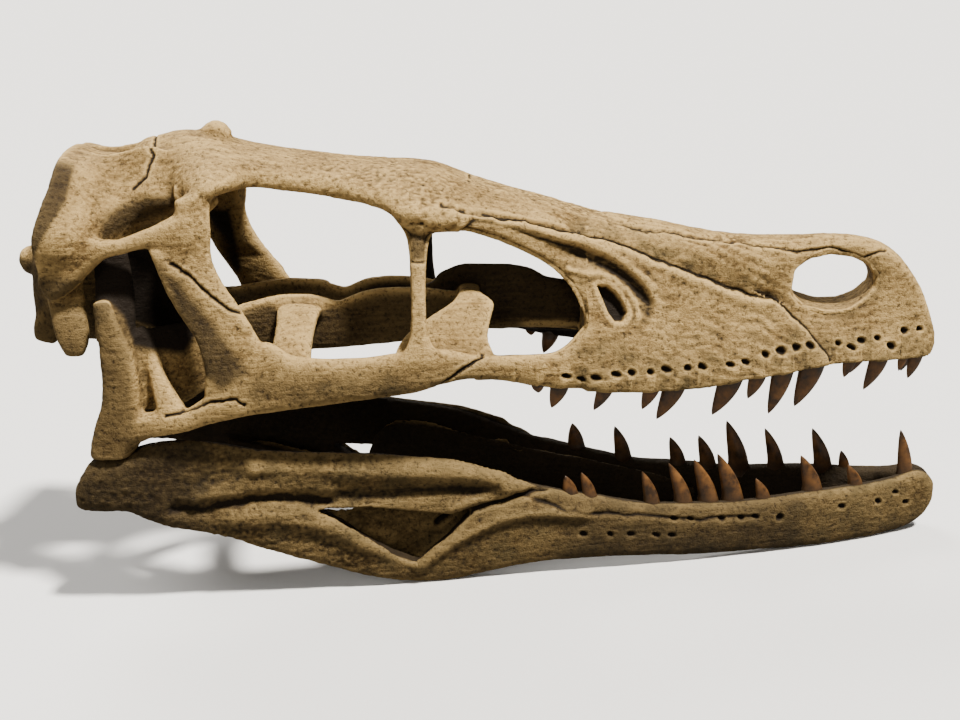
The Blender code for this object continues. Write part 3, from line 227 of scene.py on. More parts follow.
# The bones of the skull, as regions of its side view (x, z) between two half-widths, in the order in which
# they are taken out. The last value is true for a paired bone; the others reach across the mid-plane.
CRANIUM_BONES = [
    ("vomer", [(-18, 2), (-18, 34), (29.4, 34), (29.4, 2)], 0, 2.4, False),
    ("premaxilla", [(140, -10), (140, 46), (116, 46), (114.3, 36), (107, 31.6), (98, 27), (86, 22.6),
                    (75.6, 21.4), (82, 16.8), (88.6, 13), (95.2, 9.8), (98.3, 5), (98.6, -10)], 0, 40, True),
    ("nasal", [(116, 46), (107, 29), (76, 20.6), (69.6, 23.4), (60, 27), (49, 32), (38, 36.4), (16, 41.4),
               (0, 44.6), (-7, 47.4), (-19, 50.4), (-20, 70), (100, 70)], 0, 40, True),
    ("lacrimal", [(-29.6, 52.4), (-6, 50), (-6, 40.6), (-11, 38), (-11, 13.4), (-22.4, 13.4), (-22.4, 38),
                  (-29.6, 46.4)], 12.5, 45, True),
    ("palatine", [(-34, 2), (-34, 32), (9, 32), (9, 2)], 2.9, 27.4, True),
    ("ectopterygoid", [(-60, -2), (-60, 26), (-41, 26), (-41, -2)], 11.6, 31, True),
    ("pterygoid", [(-89, -12), (-89, 21), (-60, 24), (-14, 28), (-14, 2), (-62, 1)], 1, 30, True),
    ("maxilla", [(-11.8, -10), (-11.4, 2.4), (1.2, 10.6), (3, 20), (-9, 38), (-9, 60), (110, 60), (110, -10)],
     0, 45, True),
    ("frontal", [(-93.5, 75), (-92, 58), (-90.5, 50), (-84, 46), (-79, 50.6), (-66, 53), (-60, 48),
                 (-31, 43), (-17, 43), (-17, 75)], 0, 40, True),
    ("postorbital", [(-98.6, 46), (-96.9, 37), (-93, 35.4), (-85, 40.2), (-77, 41), (-74.4, 31.6),
                     (-69.2, 25.2), (-62, 17.4), (-56, 16), (-58, 30), (-62, 55), (-80, 55)], 19, 45, True),
    ("jugal", [(-90, 44), (-77.4, 12), (-77, -2.2), (-71.8, -1.4), (-65, -0.4), (-61.4, -1.9), (-58, -9),
               (10, -9), (10, 16), (-40, 28), (-60, 30)], 27, 45, True),
    ("quadratojugal", [(-50, -12), (-104, -26), (-102, -11), (-94, -6), (-88.6, -2), (-50, 2)], 26, 45, True),
    ("quadrate", [(-110, -26), (-86, -26), (-86, 20), (-96, 27.2), (-104, 26.6)], 22, 45, True),
    ("squamosal", [(-122, 20), (-122, 47), (-106, 48), (-94, 47), (-94, 22)], 20.6, 45, True),
    ("parietal", [(-130, 80), (-130, 46), (-112, 45), (-100, 43), (-86, 42), (-76, 42), (-76, 80)],
     0, 30, False)]

JAW_BONES = [  # the angular is what is left below the opening
    ("dentary", [(145, -15), (16, -15), (13.6, -31.8), (-1, -37.6), (-4, -40), (3, -43), (-8, -49.5),
                 (-16, -56.2), (-14, -70), (145, -70)]),
    ("articular", [(-120, -10), (-120, -60), (-96, -60), (-93, -25), (-95, -10)]),
    ("surangular", [(20, -10), (20, -33), (-1, -37.8), (-12, -38.6), (-20, -36), (-45, -36.4), (-62, -33.6),
                    (-92, -33), (-99, -30), (-99, -10)])]

SUTURE_GAP = 0.36
EVERYWHERE = [(-150, -150), (150, -150), (150, 150), (-150, 150)]
BEYOND = 60  # further from the mid-plane than any bone
SPLENIAL_THICKNESS = 2.0
SPLENIAL_INSET = 6.9  # from the jaw's outer face to the splenial's
TOOTH_FLAT = 0.55  # thickness of a tooth, as a share of its width
TOOTH_REACH = 1.27  # visible length of a tooth, as a share of its solid's
TOOTH_SUNK = 0.18  # share of a tooth's length below its root line
TOOTH_RINGS = 26
TOOTH_SIDES = 20

# The suns: name, strength, angle across in degrees, colour, and the way towards it.
LIGHTS = [("key", 9.0, 6, (1, 0.95, 0.87), (0.38, -0.27, 0.9)),
          ("fill", 0.5, 25, (1, 0.93, 0.82), (-0.3, -0.8, 0.5)),
          ("back", 2.2, 30, (1, 0.96, 0.9), (-0.35, 0.75, 0.75))]
FLOOR_HALF = 6  # metres from the middle of the floor to its edge
FLOOR_DROP = 0.0003  # metres, so that no worn-flat face lies in the floor
CAMERA_EYE = (0, -372.8, 121.1)  # in the skull's own frame
CAMERA_TARGET = (0, 0, 0)
CAMERA_FOCUS = 1354 / 960  # focal length, as a share of the picture's width

# Rounds of softening are stated for a fineness: FUSE_VOXEL's for fusing, VOXEL's for fillets and marks.
FUSE_VOXEL = 0.7
VOXEL = 0.45  # the usual fineness
FILLET_ROUNDS = 36
FILLET_LIFT = 1.2  # most that one fillet raises a point
NEAR_ROUNDS = 12  # the surroundings that a small hollow is told from
FAR_ROUNDS = 90  # those that a wide dell is told from
HOLLOW_FULL = 0.12  # depth at which a hollow counts fully
DELL_FULL = 0.8  # depth at which a dell does

# Net of the sheet between the nuchal crest and the roof's rear: rows from the crest forwards, each from the
# mid-plane out.
CREST_SHEET = [[(-113, -1, 59.6), (-112.8, -15, 58.6), (-113.4, -22.6, 53), (-114.8, -27.6, 47.6),
                (-116, -30, 42), (-116, -27, 33)],
               [(-106.4, -4, 59.4), (-105.6, -14.4, 56.6), (-105.6, -21, 51.2), (-106, -26, 46),
                (-106.6, -28.8, 40.6), (-107.6, -26, 32)],
               [(-100.5, -6.5, 59.3), (-99.8, -12, 54.8), (-99.9, -16.4, 50.8), (-100.7, -20.4, 47.3),
                (-102, -23.4, 43.4), (-103.6, -25.6, 38)],
               [(-94.9, -6, 61), (-93.5, -10.4, 56.4), (-92.8, -13.4, 52), (-92.5, -15.7, 48.7),
                (-93, -14.7, 45), (-94, -11, 40)],
               [(-88.8, -8, 62.8), (-87.1, -11.5, 57.8), (-86.2, -14.5, 53.8), (-85.1, -16.5, 51),
                (-85, -14.5, 47), (-86, -11, 42)],
               [(-82.4, -9, 61), (-80.4, -11, 58), (-79.4, -13.6, 54), (-79.4, -14, 51), (-79.4, -12, 48),
                (-80, -9, 44)]]
QUADRATE_RIDGE = [(-90.6, -26, 18, 1, 1), (-89, -26.6, 13, 1.5, 1.6), (-87.2, -27.6, 6, 2, 2.2),
                  (-85, -29.2, 0.4, 2.8, 2.6), (-82.6, -31, -5, 4, 3)]
QUADRATE_HEAD = [(-97.4, -28.4, 14, 5, 2), (-97, -26.4, 22, 5.6, 1.8), (-97.4, -23.6, 30, 5.2, 1.6),
                 (-98.4, -21.6, 38, 4.6, 1.8)]
BROW_ROOT = [(-80, -18.6, 50, 5, 3), (-75, -19, 51, 5, 3.4), (-70.6, -17.6, 53, 3.6, 2.6)]
MAXILLA_SHELF = [(-2, -25, 4.2, 1.4, 3.4), (12, -23.4, 4.8, 1.6, 4.2), (22, -21.6, 5, 1.7, 4.6),
                 (34, -19, 5.2, 1.7, 4.6), (50, -14.4, 5.2, 1.6, 4)]


# ---------------------------------------------------------------- relief, in side view (x, z)

FOSSA = [(-2, 46.6), (5, 45), (10.4, 43.3), (16, 41.2), (20.9, 39.4), (26, 38), (30.2, 36.5), (34, 34.9),
         (37, 33.2), (40, 31.1), (42.5, 28.9), (44.8, 26.7), (46.8, 23.9), (48.2, 20.8), (48.3, 17.4),
         (46.6, 14.4), (43.1, 12.2), (37.7, 10.7), (32.3, 9), (26, 6.6), (18, 5), (12, 20), (-10, 36)]
FOSSA_RIDGE = [(24, 31.4), (29.3, 30.4), (33.4, 30.4), (36.8, 29), (40.4, 26), (42.6, 22.4), (43.2, 18.4)]
SLOT = [(32.1, 27.4), (34.8, 27.1), (37.1, 25.3), (39.1, 22.7), (40.2, 19.9), (39, 17.8), (36.8, 17.9),
        (34.9, 20.6), (33.6, 23.9)]
NASAL_EDGE = [(-10.2, 49.5), (0, 46.6), (10.3, 44.6), (19.9, 42.4), (30, 40), (40.3, 36.8), (50.6, 32),
              (62.7, 27), (74.7, 22.4), (80.2, 21)]
SNOUT_SUTURE = [(80.2, 21.4), (83.4, 19.6), (88.2, 15.2), (92.4, 11), (95, 8.2), (97, 5.6), (98.3, 2)]
NASAL_CRACK = [(-2.6, 53.7), (7.9, 50.6), (21.4, 46.9), (32.3, 43.8), (43.3, 40.8), (60.1, 37.8), (77, 35.6),
               (88.6, 33.8), (97.1, 34.9), (107.1, 31.7), (109.3, 32.5), (113.2, 33.6)]
CHEEK_SUTURE = [(0.5, 10.6), (-4, 8), (-10.9, 2.6)]
CHEEK_STEP = [(-84.2, -4.7), (-76.7, -2.5), (-71.4, -0.3), (-64.1, 0.7), (-62.1, -0.7)]
TEMPLE_SHADE = [(-108, 38), (-103.4, 24), (-97, 14), (-80, 8), (-72, 20), (-74, 40)]
TEMPLE_POCKET = [(-104.8, 41.5), (-97.4, 48.9), (-88.8, 52.3), (-81, 52), (-78.8, 48.9), (-83.7, 45.9),
                 (-92.9, 42.4), (-99.9, 39.5)]
EYE_SUTURE = [(-79.6, 36.4), (-78.3, 35.6), (-76, 33.6), (-73.1, 30.5), (-68.7, 26.3), (-65.6, 24),
              (-60, 22.6)]
ROOF_CRACK = [(-89.6, 66.2), (-87.2, 61.4), (-89.3, 55.9), (-92.2, 53.1)]
TEAR_CRACK = [(-19.2, 35.6), (-13.2, 35.2)]
LACRIMAL_BOSS = [(-23.6, 48.6), (-16.8, 50.8), (-6.2, 49.2), (-3.9, 46), (-9.3, 43.6), (-15.4, 42.6),
                 (-20.7, 44)]
CHEEK_DARK = [(-83.2, 36), (-75.9, 27.9), (-67.6, 17.4), (-61.3, 7.9), (-68.4, 3), (-73, 7.9), (-76.5, 19.7)]
CREST_EDGE = [(-110, 66), (-107, 58), (-107.6, 51), (-112.4, 42.8), (-117, 35), (-122, 34), (-119, 50),
              (-113, 64)]
ROUGH = [[(-62, 50), (-30, 47), (-12, 44), (-8, 54), (-24, 60), (-62, 57)],
         [(-76, 34), (-68, 36), (-66, 58), (-73, 60)]]
CHEEK_STAIN = [(-84, 38), (-78, 38), (-70, 24), (-66, 6), (-82, 2)]
TEAR_SHADE = [(-21.1, 44.1), (-16.1, 42.6), (-10.8, 42.2), (-13.1, 39), (-13.5, 35.5), (-18.9, 35.5),
              (-19.4, 39.8)]
MAXILLA_PITS = [(23.4, 4.1), (27.3, 3), (31.4, 3.4), (36.8, 4), (41.2, 4.3), (46.5, 4.3), (51, 4.5),
                (56.9, 4.4), (61.1, 4.6), (69, 4.8), (73.5, 5.1), (79.1, 6.9), (83.6, 7.5), (87.8, 8.2),
                (91.8, 8.6)]
SNOUT_PITS = [(100, 8.9), (103.9, 7.8), (107, 9.3), (111.5, 9.5), (116, 7), (120.1, 10.7), (124.8, 10.8)]

DENTARY_GROOVE = [(10, -32.4), (15, -33.8), (24.5, -37.5), (41.3, -39.8), (51.2, -40.6), (60, -41.7),
                  (79.5, -42.4)]
DENTARY_PITS = [(55.6, -41.3), (60, -41.7), (69.2, -42.5), (75, -42.6), (79.5, -42.4), (86.3, -42.9),
                (105.2, -41.2), (116.8, -40.8), (122.2, -38.4), (125.6, -42.4), (29.5, -45.2), (37, -45.5),
                (43, -45.3), (50.6, -46.1), (55, -46.5)]
FORK_RIDGE = [(30, -38.6), (14, -38), (5.5, -39.4), (-4, -44.2), (-12, -49), (-17, -53)]
FORK_TOP = [(22.7, -29.5), (13.8, -29.2), (2, -32.6), (-8.2, -35.9)]
FORK_CLEFT = [(-12, -43.4), (-8, -39.6), (-4, -37.4), (3.7, -35), (13, -32.4), (19, -30.6)]
REAR_SWELL = [(-78, -29.6), (-64, -27.2), (-51, -27.4), (-42, -29.2)]
ANGULAR_SWELL = [(-68, -36.4), (-57, -36), (-46, -38.4), (-37, -42.6), (-26, -47)]
SHELF = [(-62, -21.6), (-50, -22.4), (-36, -23.6), (-20, -24.6), (-6, -25.4), (6, -28)]
SHELF_FOOT = [(-60, -27), (-43, -31), (-30, -31.4), (-18, -30.6), (-6, -30.4), (4, -31.4)]
JAW_SEAM = [(-84, -33), (-75.3, -33.6), (-67.8, -32), (-60.4, -30.6), (-51.3, -31), (-42.2, -33.2)]


def table(rows, x, column=1):
    """A column of a table, read at x along straight lines."""
    rows = np.array(rows, float)
    return np.interp(x, rows[:, 0], rows[:, column])


def wall(x, z):
    """Half-width of the side wall: a blend of its low and its top value by the height."""
    rise = np.clip((z - WALL_BEND) / (table(ROOF_EDGE, x) - WALL_BEND), 0, 1)
    return table(WALL_LOW, x) * (1 - rise) + table(WALL_TOP, x) * rise


def smooth(rows, count):
    """Rows of numbers carried through their own points by a Catmull-Rom cubic, read at count even places."""
    rows = np.array(rows, float)
    rows = np.vstack([2 * rows[0] - rows[1], rows, 2 * rows[-1] - rows[-2]])
    place = np.linspace(0, len(rows) - 3, count)
    start = np.minimum(place.astype(int), len(rows) - 4)
    t = (place - start)[:, None]
    a, b, c, d = (rows[start + step] for step in range(4))
    linear, square, cube = c - a, 2 * a - 5 * b + 4 * c - d, 3 * b - a - 3 * c + d
    return 0.5 * (2 * b + linear * t + square * t**2 + cube * t**3)


def unit(vectors):
    """Rows of vectors brought to length 1."""
    return vectors / np.linalg.norm(vectors, axis=1)[:, None]


def rings(centres, across, deep, sides=28, power=2.6):
    """Superellipse rings: centre + across * cos(u)^(2/power) + deep * sin(u)^(2/power), signs kept."""
    turn = np.linspace(0, 2 * math.pi, sides, endpoint=False)
    c = np.sign(np.cos(turn)) * np.abs(np.cos(turn)) ** (2 / power)
    s = np.sign(np.sin(turn)) * np.abs(np.sin(turn)) ** (2 / power)
    return centres[:, None] + across[:, None] * c[None, :, None] + deep[:, None] * s[None, :, None]


def bar(stations, side=-1):
    """A bar flush with the side wall: rings between two edge curves (x, z, x, z), with a thickness."""
    rows = smooth(stations, 12 * len(stations))
    ends = []
    for x, z in ((rows[:, 0], rows[:, 1]), (rows[:, 2], rows[:, 3])):
        ends.append(np.stack([x, side * (wall(x, z) - rows[:, 4] / 2), z], 1))
    centre = (ends[0] + ends[1]) / 2
    across = (ends[1] - ends[0]) / 2
    normal = unit(np.cross(across, np.gradient(centre, axis=0)))
    return rings(centre, across, normal * rows[:, 4:5] / 2)


def plate(stations, upright=(0, 0, 1)):
    """A plate on a path in space: rings of a half-height along upright and a half-thickness across it."""
    rows = smooth(stations, 12 * len(stations))
    tangent = np.gradient(rows[:, :3], axis=0)
    normal = unit(np.cross(tangent, np.array(upright, float)))
    up = unit(np.cross(normal, tangent))
    return rings(rows[:, :3], up * rows[:, 3:4], normal * rows[:, 4:5])


def fan(stations):
    """A plate whose rings all lie along x: a half-thickness across the path and a half-length along x."""
    rows = smooth(stations, 12 * len(stations))
    zero = np.zeros(len(rows))
    across = np.stack([rows[:, 4], zero, zero], 1)
    deep = unit(np.cross(np.gradient(rows[:, :3], axis=0), [1, 0, 0]))
    return rings(rows[:, :3], across, deep * rows[:, 3:4])


def sheet(net, thickness, count=60):
    """A sheet in space: a net of points smoothed both ways, moved half the thickness to each side."""
    net = np.array(net, float)
    rows = smooth(net.reshape(len(net), -1), count).reshape(count, -1, 3).transpose(1, 0, 2)
    grid = smooth(rows.reshape(len(rows), -1), count).reshape(count, count, 3)
    normal = np.cross(np.gradient(grid, axis=0), np.gradient(grid, axis=1))
    normal *= thickness / 2 / np.linalg.norm(normal, axis=2)[..., None]
    return np.concatenate([grid + normal, (grid - normal)[:, ::-1]], 1)


def shell(stations, count, rounds=96):
    """A body across the mid-plane: closed rings of a spline through corners and their mirror images."""
    half = len(stations[0][1])
    rows = smooth([[x] + [value for corner in corners for value in corner] for x, corners in stations], count)
    left = rows[:, 1:].reshape(len(rows), half, 2)
    right = left[:, ::-1] * np.array([-1, 1])
    skip = [left[:, 0, 0].max() < 1e-6, left[:, -1, 0].max() < 1e-6]
    loop = np.concatenate([left, right[:, int(skip[1]):half - int(skip[0])]], 1)
    loop = np.concatenate([loop[:, -1:], loop, loop[:, :2]], 1)
    ring = np.stack([smooth(one, (len(one) - 1) * 16 + 1)[16:-16:] for one in loop])
    ring = ring[:, np.linspace(0, ring.shape[1] - 1, rounds + 1).round().astype(int)[:-1]]
    return np.concatenate([np.broadcast_to(rows[:, :1, None], ring.shape[:2] + (1,)), ring], 2)


def upright(stations, side, thickness, inset, count=260, sides=72):
    """A half of the lower jaw: upright rings between two edges, set in from an outer half-width."""
    rows = smooth(stations, count)
    thick = table(thickness, rows[:, 0])
    middle = side * (rows[:, 3] - inset - thick / 2)
    centre = np.stack([rows[:, 0], middle, (rows[:, 1] + rows[:, 2]) / 2], 1)
    zero = np.zeros(len(rows))
    across = np.stack([zero, zero, (rows[:, 2] - rows[:, 1]) / 2], 1)
    deep = np.stack([zero, -side * thick / 2, zero], 1)
    return rings(centre, across, deep, sides, 3.2)


def tooth(x, y, root, length, base, lean):
    """A recurved blade: rings whose middle leans by lean * t^1.6 and whose width is base * (1 - t^2)^0.8."""
    t = np.linspace(-TOOTH_SUNK, 1, TOOTH_RINGS)
    up = np.clip(t, 0, 1)
    width = base / 1.85 * (0.96 + 0.14 * np.exp(-((t + 0.05) / 0.12) ** 2))
    width *= np.maximum(1 - up**2, 0.0009) ** 0.8
    zero = np.zeros(len(t))
    centres = np.stack([x + lean * up**1.6, zero + y, root + length * t], 1)
    across = np.stack([width, zero, zero], 1)
    deep = np.stack([zero, width * TOOTH_FLAT, zero], 1)
    return rings(centres, across, deep, TOOTH_SIDES, 1.7)


# ---------------------------------------------------------------- meshes

def outward(grid):
    """A closed tube with its faces pointing outwards: turned round where its volume comes out below zero."""
    near, far = grid[:-1], grid[1:]
    near_next, far_next = np.roll(near, -1, 1), np.roll(far, -1, 1)
    areas = np.cross(far_next - near, far - near_next)
    volume = np.sum(areas * (near + near_next + far_next + far)) / 4
    for ring, sign in ((grid[0], -1), (grid[-1], 1)):
        volume += sign * np.sum(np.cross(ring, np.roll(ring, -1, 0)), 0) @ ring.mean(0)
    return grid if volume > 0 else grid[:, ::-1]


def mesh_of(name, grids):
    """One mesh from closed tubes, each a grid of rings: quads between the rings and a cap at each end."""
    points, faces, first = [], [], 0
    for grid in map(outward, grids):
        rows, sides = grid.shape[:2]
        index = first + np.arange(rows * sides).reshape(rows, sides)
        near, far = index[:-1], index[1:]
        quads = np.stack([near, np.roll(near, -1, 1), np.roll(far, -1, 1), far], -1)
        faces += quads.reshape(-1, 4).tolist() + [index[0][::-1].tolist(), index[-1].tolist()]
        points.append(grid.reshape(-1, 3))
        first += rows * sides
    mesh = bpy.data.meshes.new(name)
    mesh.from_pydata(np.concatenate(points).tolist(), [], faces)
    return mesh


def linked(name, data):
    """An object of the scene for a mesh, a light or a camera."""
    obj = bpy.data.objects.new(name, data)
    bpy.context.scene.collection.objects.link(obj)
    return obj


def applied(obj):
    """Bakes an object's modifiers into its mesh."""
    bpy.context.view_layer.update()
    mesh = bpy.data.meshes.new_from_object(obj.evaluated_get(bpy.context.evaluated_depsgraph_get()))
    obj.modifiers.clear()
    obj.data = mesh


def cut(obj, other, operation):
    """Parts, crosses or joins two closed meshes."""
    step = obj.modifiers.new("cut", "BOOLEAN")
    step.operation = operation
    step.object = other
    step.solver = "MANIFOLD"
    applied(obj)


def prism(outline, y_from, y_to):
    """A cutter: an outline in side view (x, z) drawn out between two values of y."""
    grid = np.array([[(x, y, z) for x, z in outline] for y in sorted((y_from, y_to))], float)
    obj = linked("cutter", mesh_of("cutter", [grid]))
    obj.hide_render = True
    obj.display_type = "WIRE"
    return obj


def subtracted(obj, outline, y_from, y_to, operation="DIFFERENCE"):
    """Cuts a prism out of an object, or keeps only what lies in it."""
    cutter = prism(outline, y_from, y_to)
    cut(obj, cutter, operation)
    bpy.data.objects.remove(cutter)


def softened(obj, rounds):
    """Moves each point half-way to the mean of its neighbours, round by round."""
    soften = obj.modifiers.new("soften", "SMOOTH")
    soften.factor = 0.5
    soften.iterations = rounds
    applied(obj)


def fused(obj, rounds):
    """Fuses an object's overlapping tubes into one closed surface with softened joins."""
    voxel = bpy.context.scene.skull_sizes.voxel
    fuse = obj.modifiers.new("fuse", "REMESH")
    fuse.mode = "VOXEL"
    fuse.voxel_size = voxel
    softened(obj, round(rounds * (FUSE_VOXEL / voxel) ** 2))
    filleted(obj.data, round(FILLET_ROUNDS * (VOXEL / voxel) ** 2))


def listed(items, name, width, kind=np.float32):
    """What a mesh says of its points or edges, as rows of an array."""
    values = np.empty(len(items) * width, kind)
    items.foreach_get(name, values)
    return values.reshape(-1, width)


def points_of(mesh):
    """A mesh's points as an array."""
    return listed(mesh.vertices, "co", 3).astype(float)


def normals_of(mesh):
    """A mesh's point normals as an array."""
    return listed(mesh.vertex_normals, "vector", 3).astype(float)


def moved_to(mesh, points):
    """Puts a mesh's points at new places."""
    mesh.vertices.foreach_set("co", points.astype(np.float32).ravel())
    mesh.update()


def relaxed(mesh, rounds):
    """A mesh's points after rounds of softening."""
    obj = linked("relaxed", mesh.copy())
    softened(obj, rounds)
    points = points_of(obj.data)
    bpy.data.objects.remove(obj)
    return points


def filleted(mesh, rounds, times=3):
    """Fills the corners where tubes meet: moves points out to the softened surface where it lies above."""
    for _ in range(times):
        points, normals = points_of(mesh), normals_of(mesh)
        lift = ((relaxed(mesh, rounds) - points) * normals).sum(1).clip(0, FILLET_LIFT)
        moved_to(mesh, points + 0.9 * normals * lift[:, None])


def painted(mesh, name, values):
    """Stores a number for each point as an attribute that the materials read."""
    attribute = mesh.attributes.get(name) or mesh.attributes.new(name, "FLOAT", "POINT")
    attribute.data.foreach_set("value", np.ascontiguousarray(values, np.float32))


# ---------------------------------------------------------------- relief

def rising(value):
    """A smooth step from 0 at 0 to 1 at 1."""
    value = np.clip(value, 0, 1)
    return value * value * (3 - 2 * value)


def bell(value, width):
    """A bell: exp(-(value / width)^2)."""
    return np.exp(-(value / width) ** 2)


def noise(points, size, seed):
    """Value noise from -1 to 1: random numbers on a lattice of the given size, blended by smooth steps."""
    place = points / size + 1000
    cell = np.floor(place).astype(np.int64)
    blend = place - cell
    blend = blend * blend * (3 - 2 * blend)
    total = np.zeros(len(points))
    for corner in range(8):
        step = np.array([corner & 1, corner >> 1 & 1, corner >> 2])
        key = (cell + step) @ np.array([73856093, 19349663, 83492791]) + seed * 2654435761
        key = (key ^ key >> 13) * 1274126177 & 0x7FFFFFFF
        weight = np.prod(np.where(step == 1, blend, 1 - blend), 1)
        total += weight * ((key ^ key >> 16) & 0xFFFF)
    return total / 32767.5 - 1


def off_line(x, z, line):
    """Distance in side view to a line of points, and the signed side of it: above zero on the line's left."""
    best = np.full(len(x), 1e9)
    left = np.zeros(len(x))
    for (ax, az), (bx, bz) in zip(line[:-1], line[1:]):
        dx, dz = bx - ax, bz - az
        t = np.clip(((x - ax) * dx + (z - az) * dz) / (dx * dx + dz * dz), 0, 1)
        px, pz = x - ax - t * dx, z - az - t * dz
        distance = np.hypot(px, pz)
        nearer = distance < best
        best = np.where(nearer, distance, best)
        left = np.where(nearer, np.sign(dx * pz - dz * px), left)
    return best, left


def inside(x, z, outline):
    """Distance in side view to an outline, above zero inside it."""
    distance, _ = off_line(x, z, outline + outline[:1])
    crossings = np.zeros(len(x), int)
    for (ax, az), (bx, bz) in zip(outline, outline[1:] + outline[:1]):
        spans = (az > z) != (bz > z)
        crossings += spans & (x < ax + (z - az) / (bz - az + 1e-12) * (bx - ax))
    return np.where(crossings % 2 == 1, distance, -distance)


def within(x, z, outline, reach, fade):
    """A smooth step from 0 at a reach outside an outline to 1 further in by the fade."""
    return rising((inside(x, z, outline) + reach) / fade)


def band(value, start, rise, end, fall):
    """A smooth step up from start over rise, and down again to 0 at end over fall."""
    return rising((value - start) / rise) * rising((end - value) / fall)


def groove(x, z, line, width, depth):
    """A groove along a line: depth * exp(-(distance / width)^2)."""
    distance, _ = off_line(x, z, line)
    return -depth * bell(distance, width)


def pits(x, z, places, radius, depth):
    """Round holes: depth * exp(-(distance / radius)^4) at each place."""
    total = np.zeros(len(x))
    for px, pz in places:
        size = radius * (0.8 + 0.4 * (px * 0.37 % 1))
        total -= depth * np.exp(-(np.hypot((x - px) / 1.4, z - pz + 0.2 * (x - px)) / size) ** 4)
    return total


def layers(points, sizes, seed):
    """Noise summed over several sizes."""
    return sum(noise(points, size, seed + step) * share for step, (size, share) in enumerate(sizes))


def drift(points, size, seeds):
    """Noise along x, y and z, with a seed for each, and none along an axis whose seed is 0."""
    still = np.zeros(len(points))
    return np.stack([noise(points, size, seed) if seed else still for seed in seeds], 1)


def pressed(obj, relief):
    """Moves each point along its normal by a relief, and stores how hollow and how marked it is there."""
    mesh = obj.data
    points, normals = points_of(mesh), normals_of(mesh)
    height, marks = relief(points, normals)
    moved = points + normals * height[:, None]
    moved_to(mesh, moved)
    normals = normals_of(mesh)
    finer = (VOXEL / bpy.context.scene.skull_sizes.voxel) ** 2
    near = relaxed(mesh, max(2, round(NEAR_ROUNDS * finer)))
    far = relaxed(mesh, round(FAR_ROUNDS * finer))
    hollow = ((near - moved) * normals).sum(1)
    dell = ((far - moved) * normals).sum(1)
    painted(mesh, "hollow", np.clip(hollow / HOLLOW_FULL, -1, 1))
    painted(mesh, "dell", np.clip(dell / DELL_FULL, -1, 1))
    painted(mesh, "old", np.ones(len(points)))
    for name, values in marks.items():
        painted(mesh, name, values)


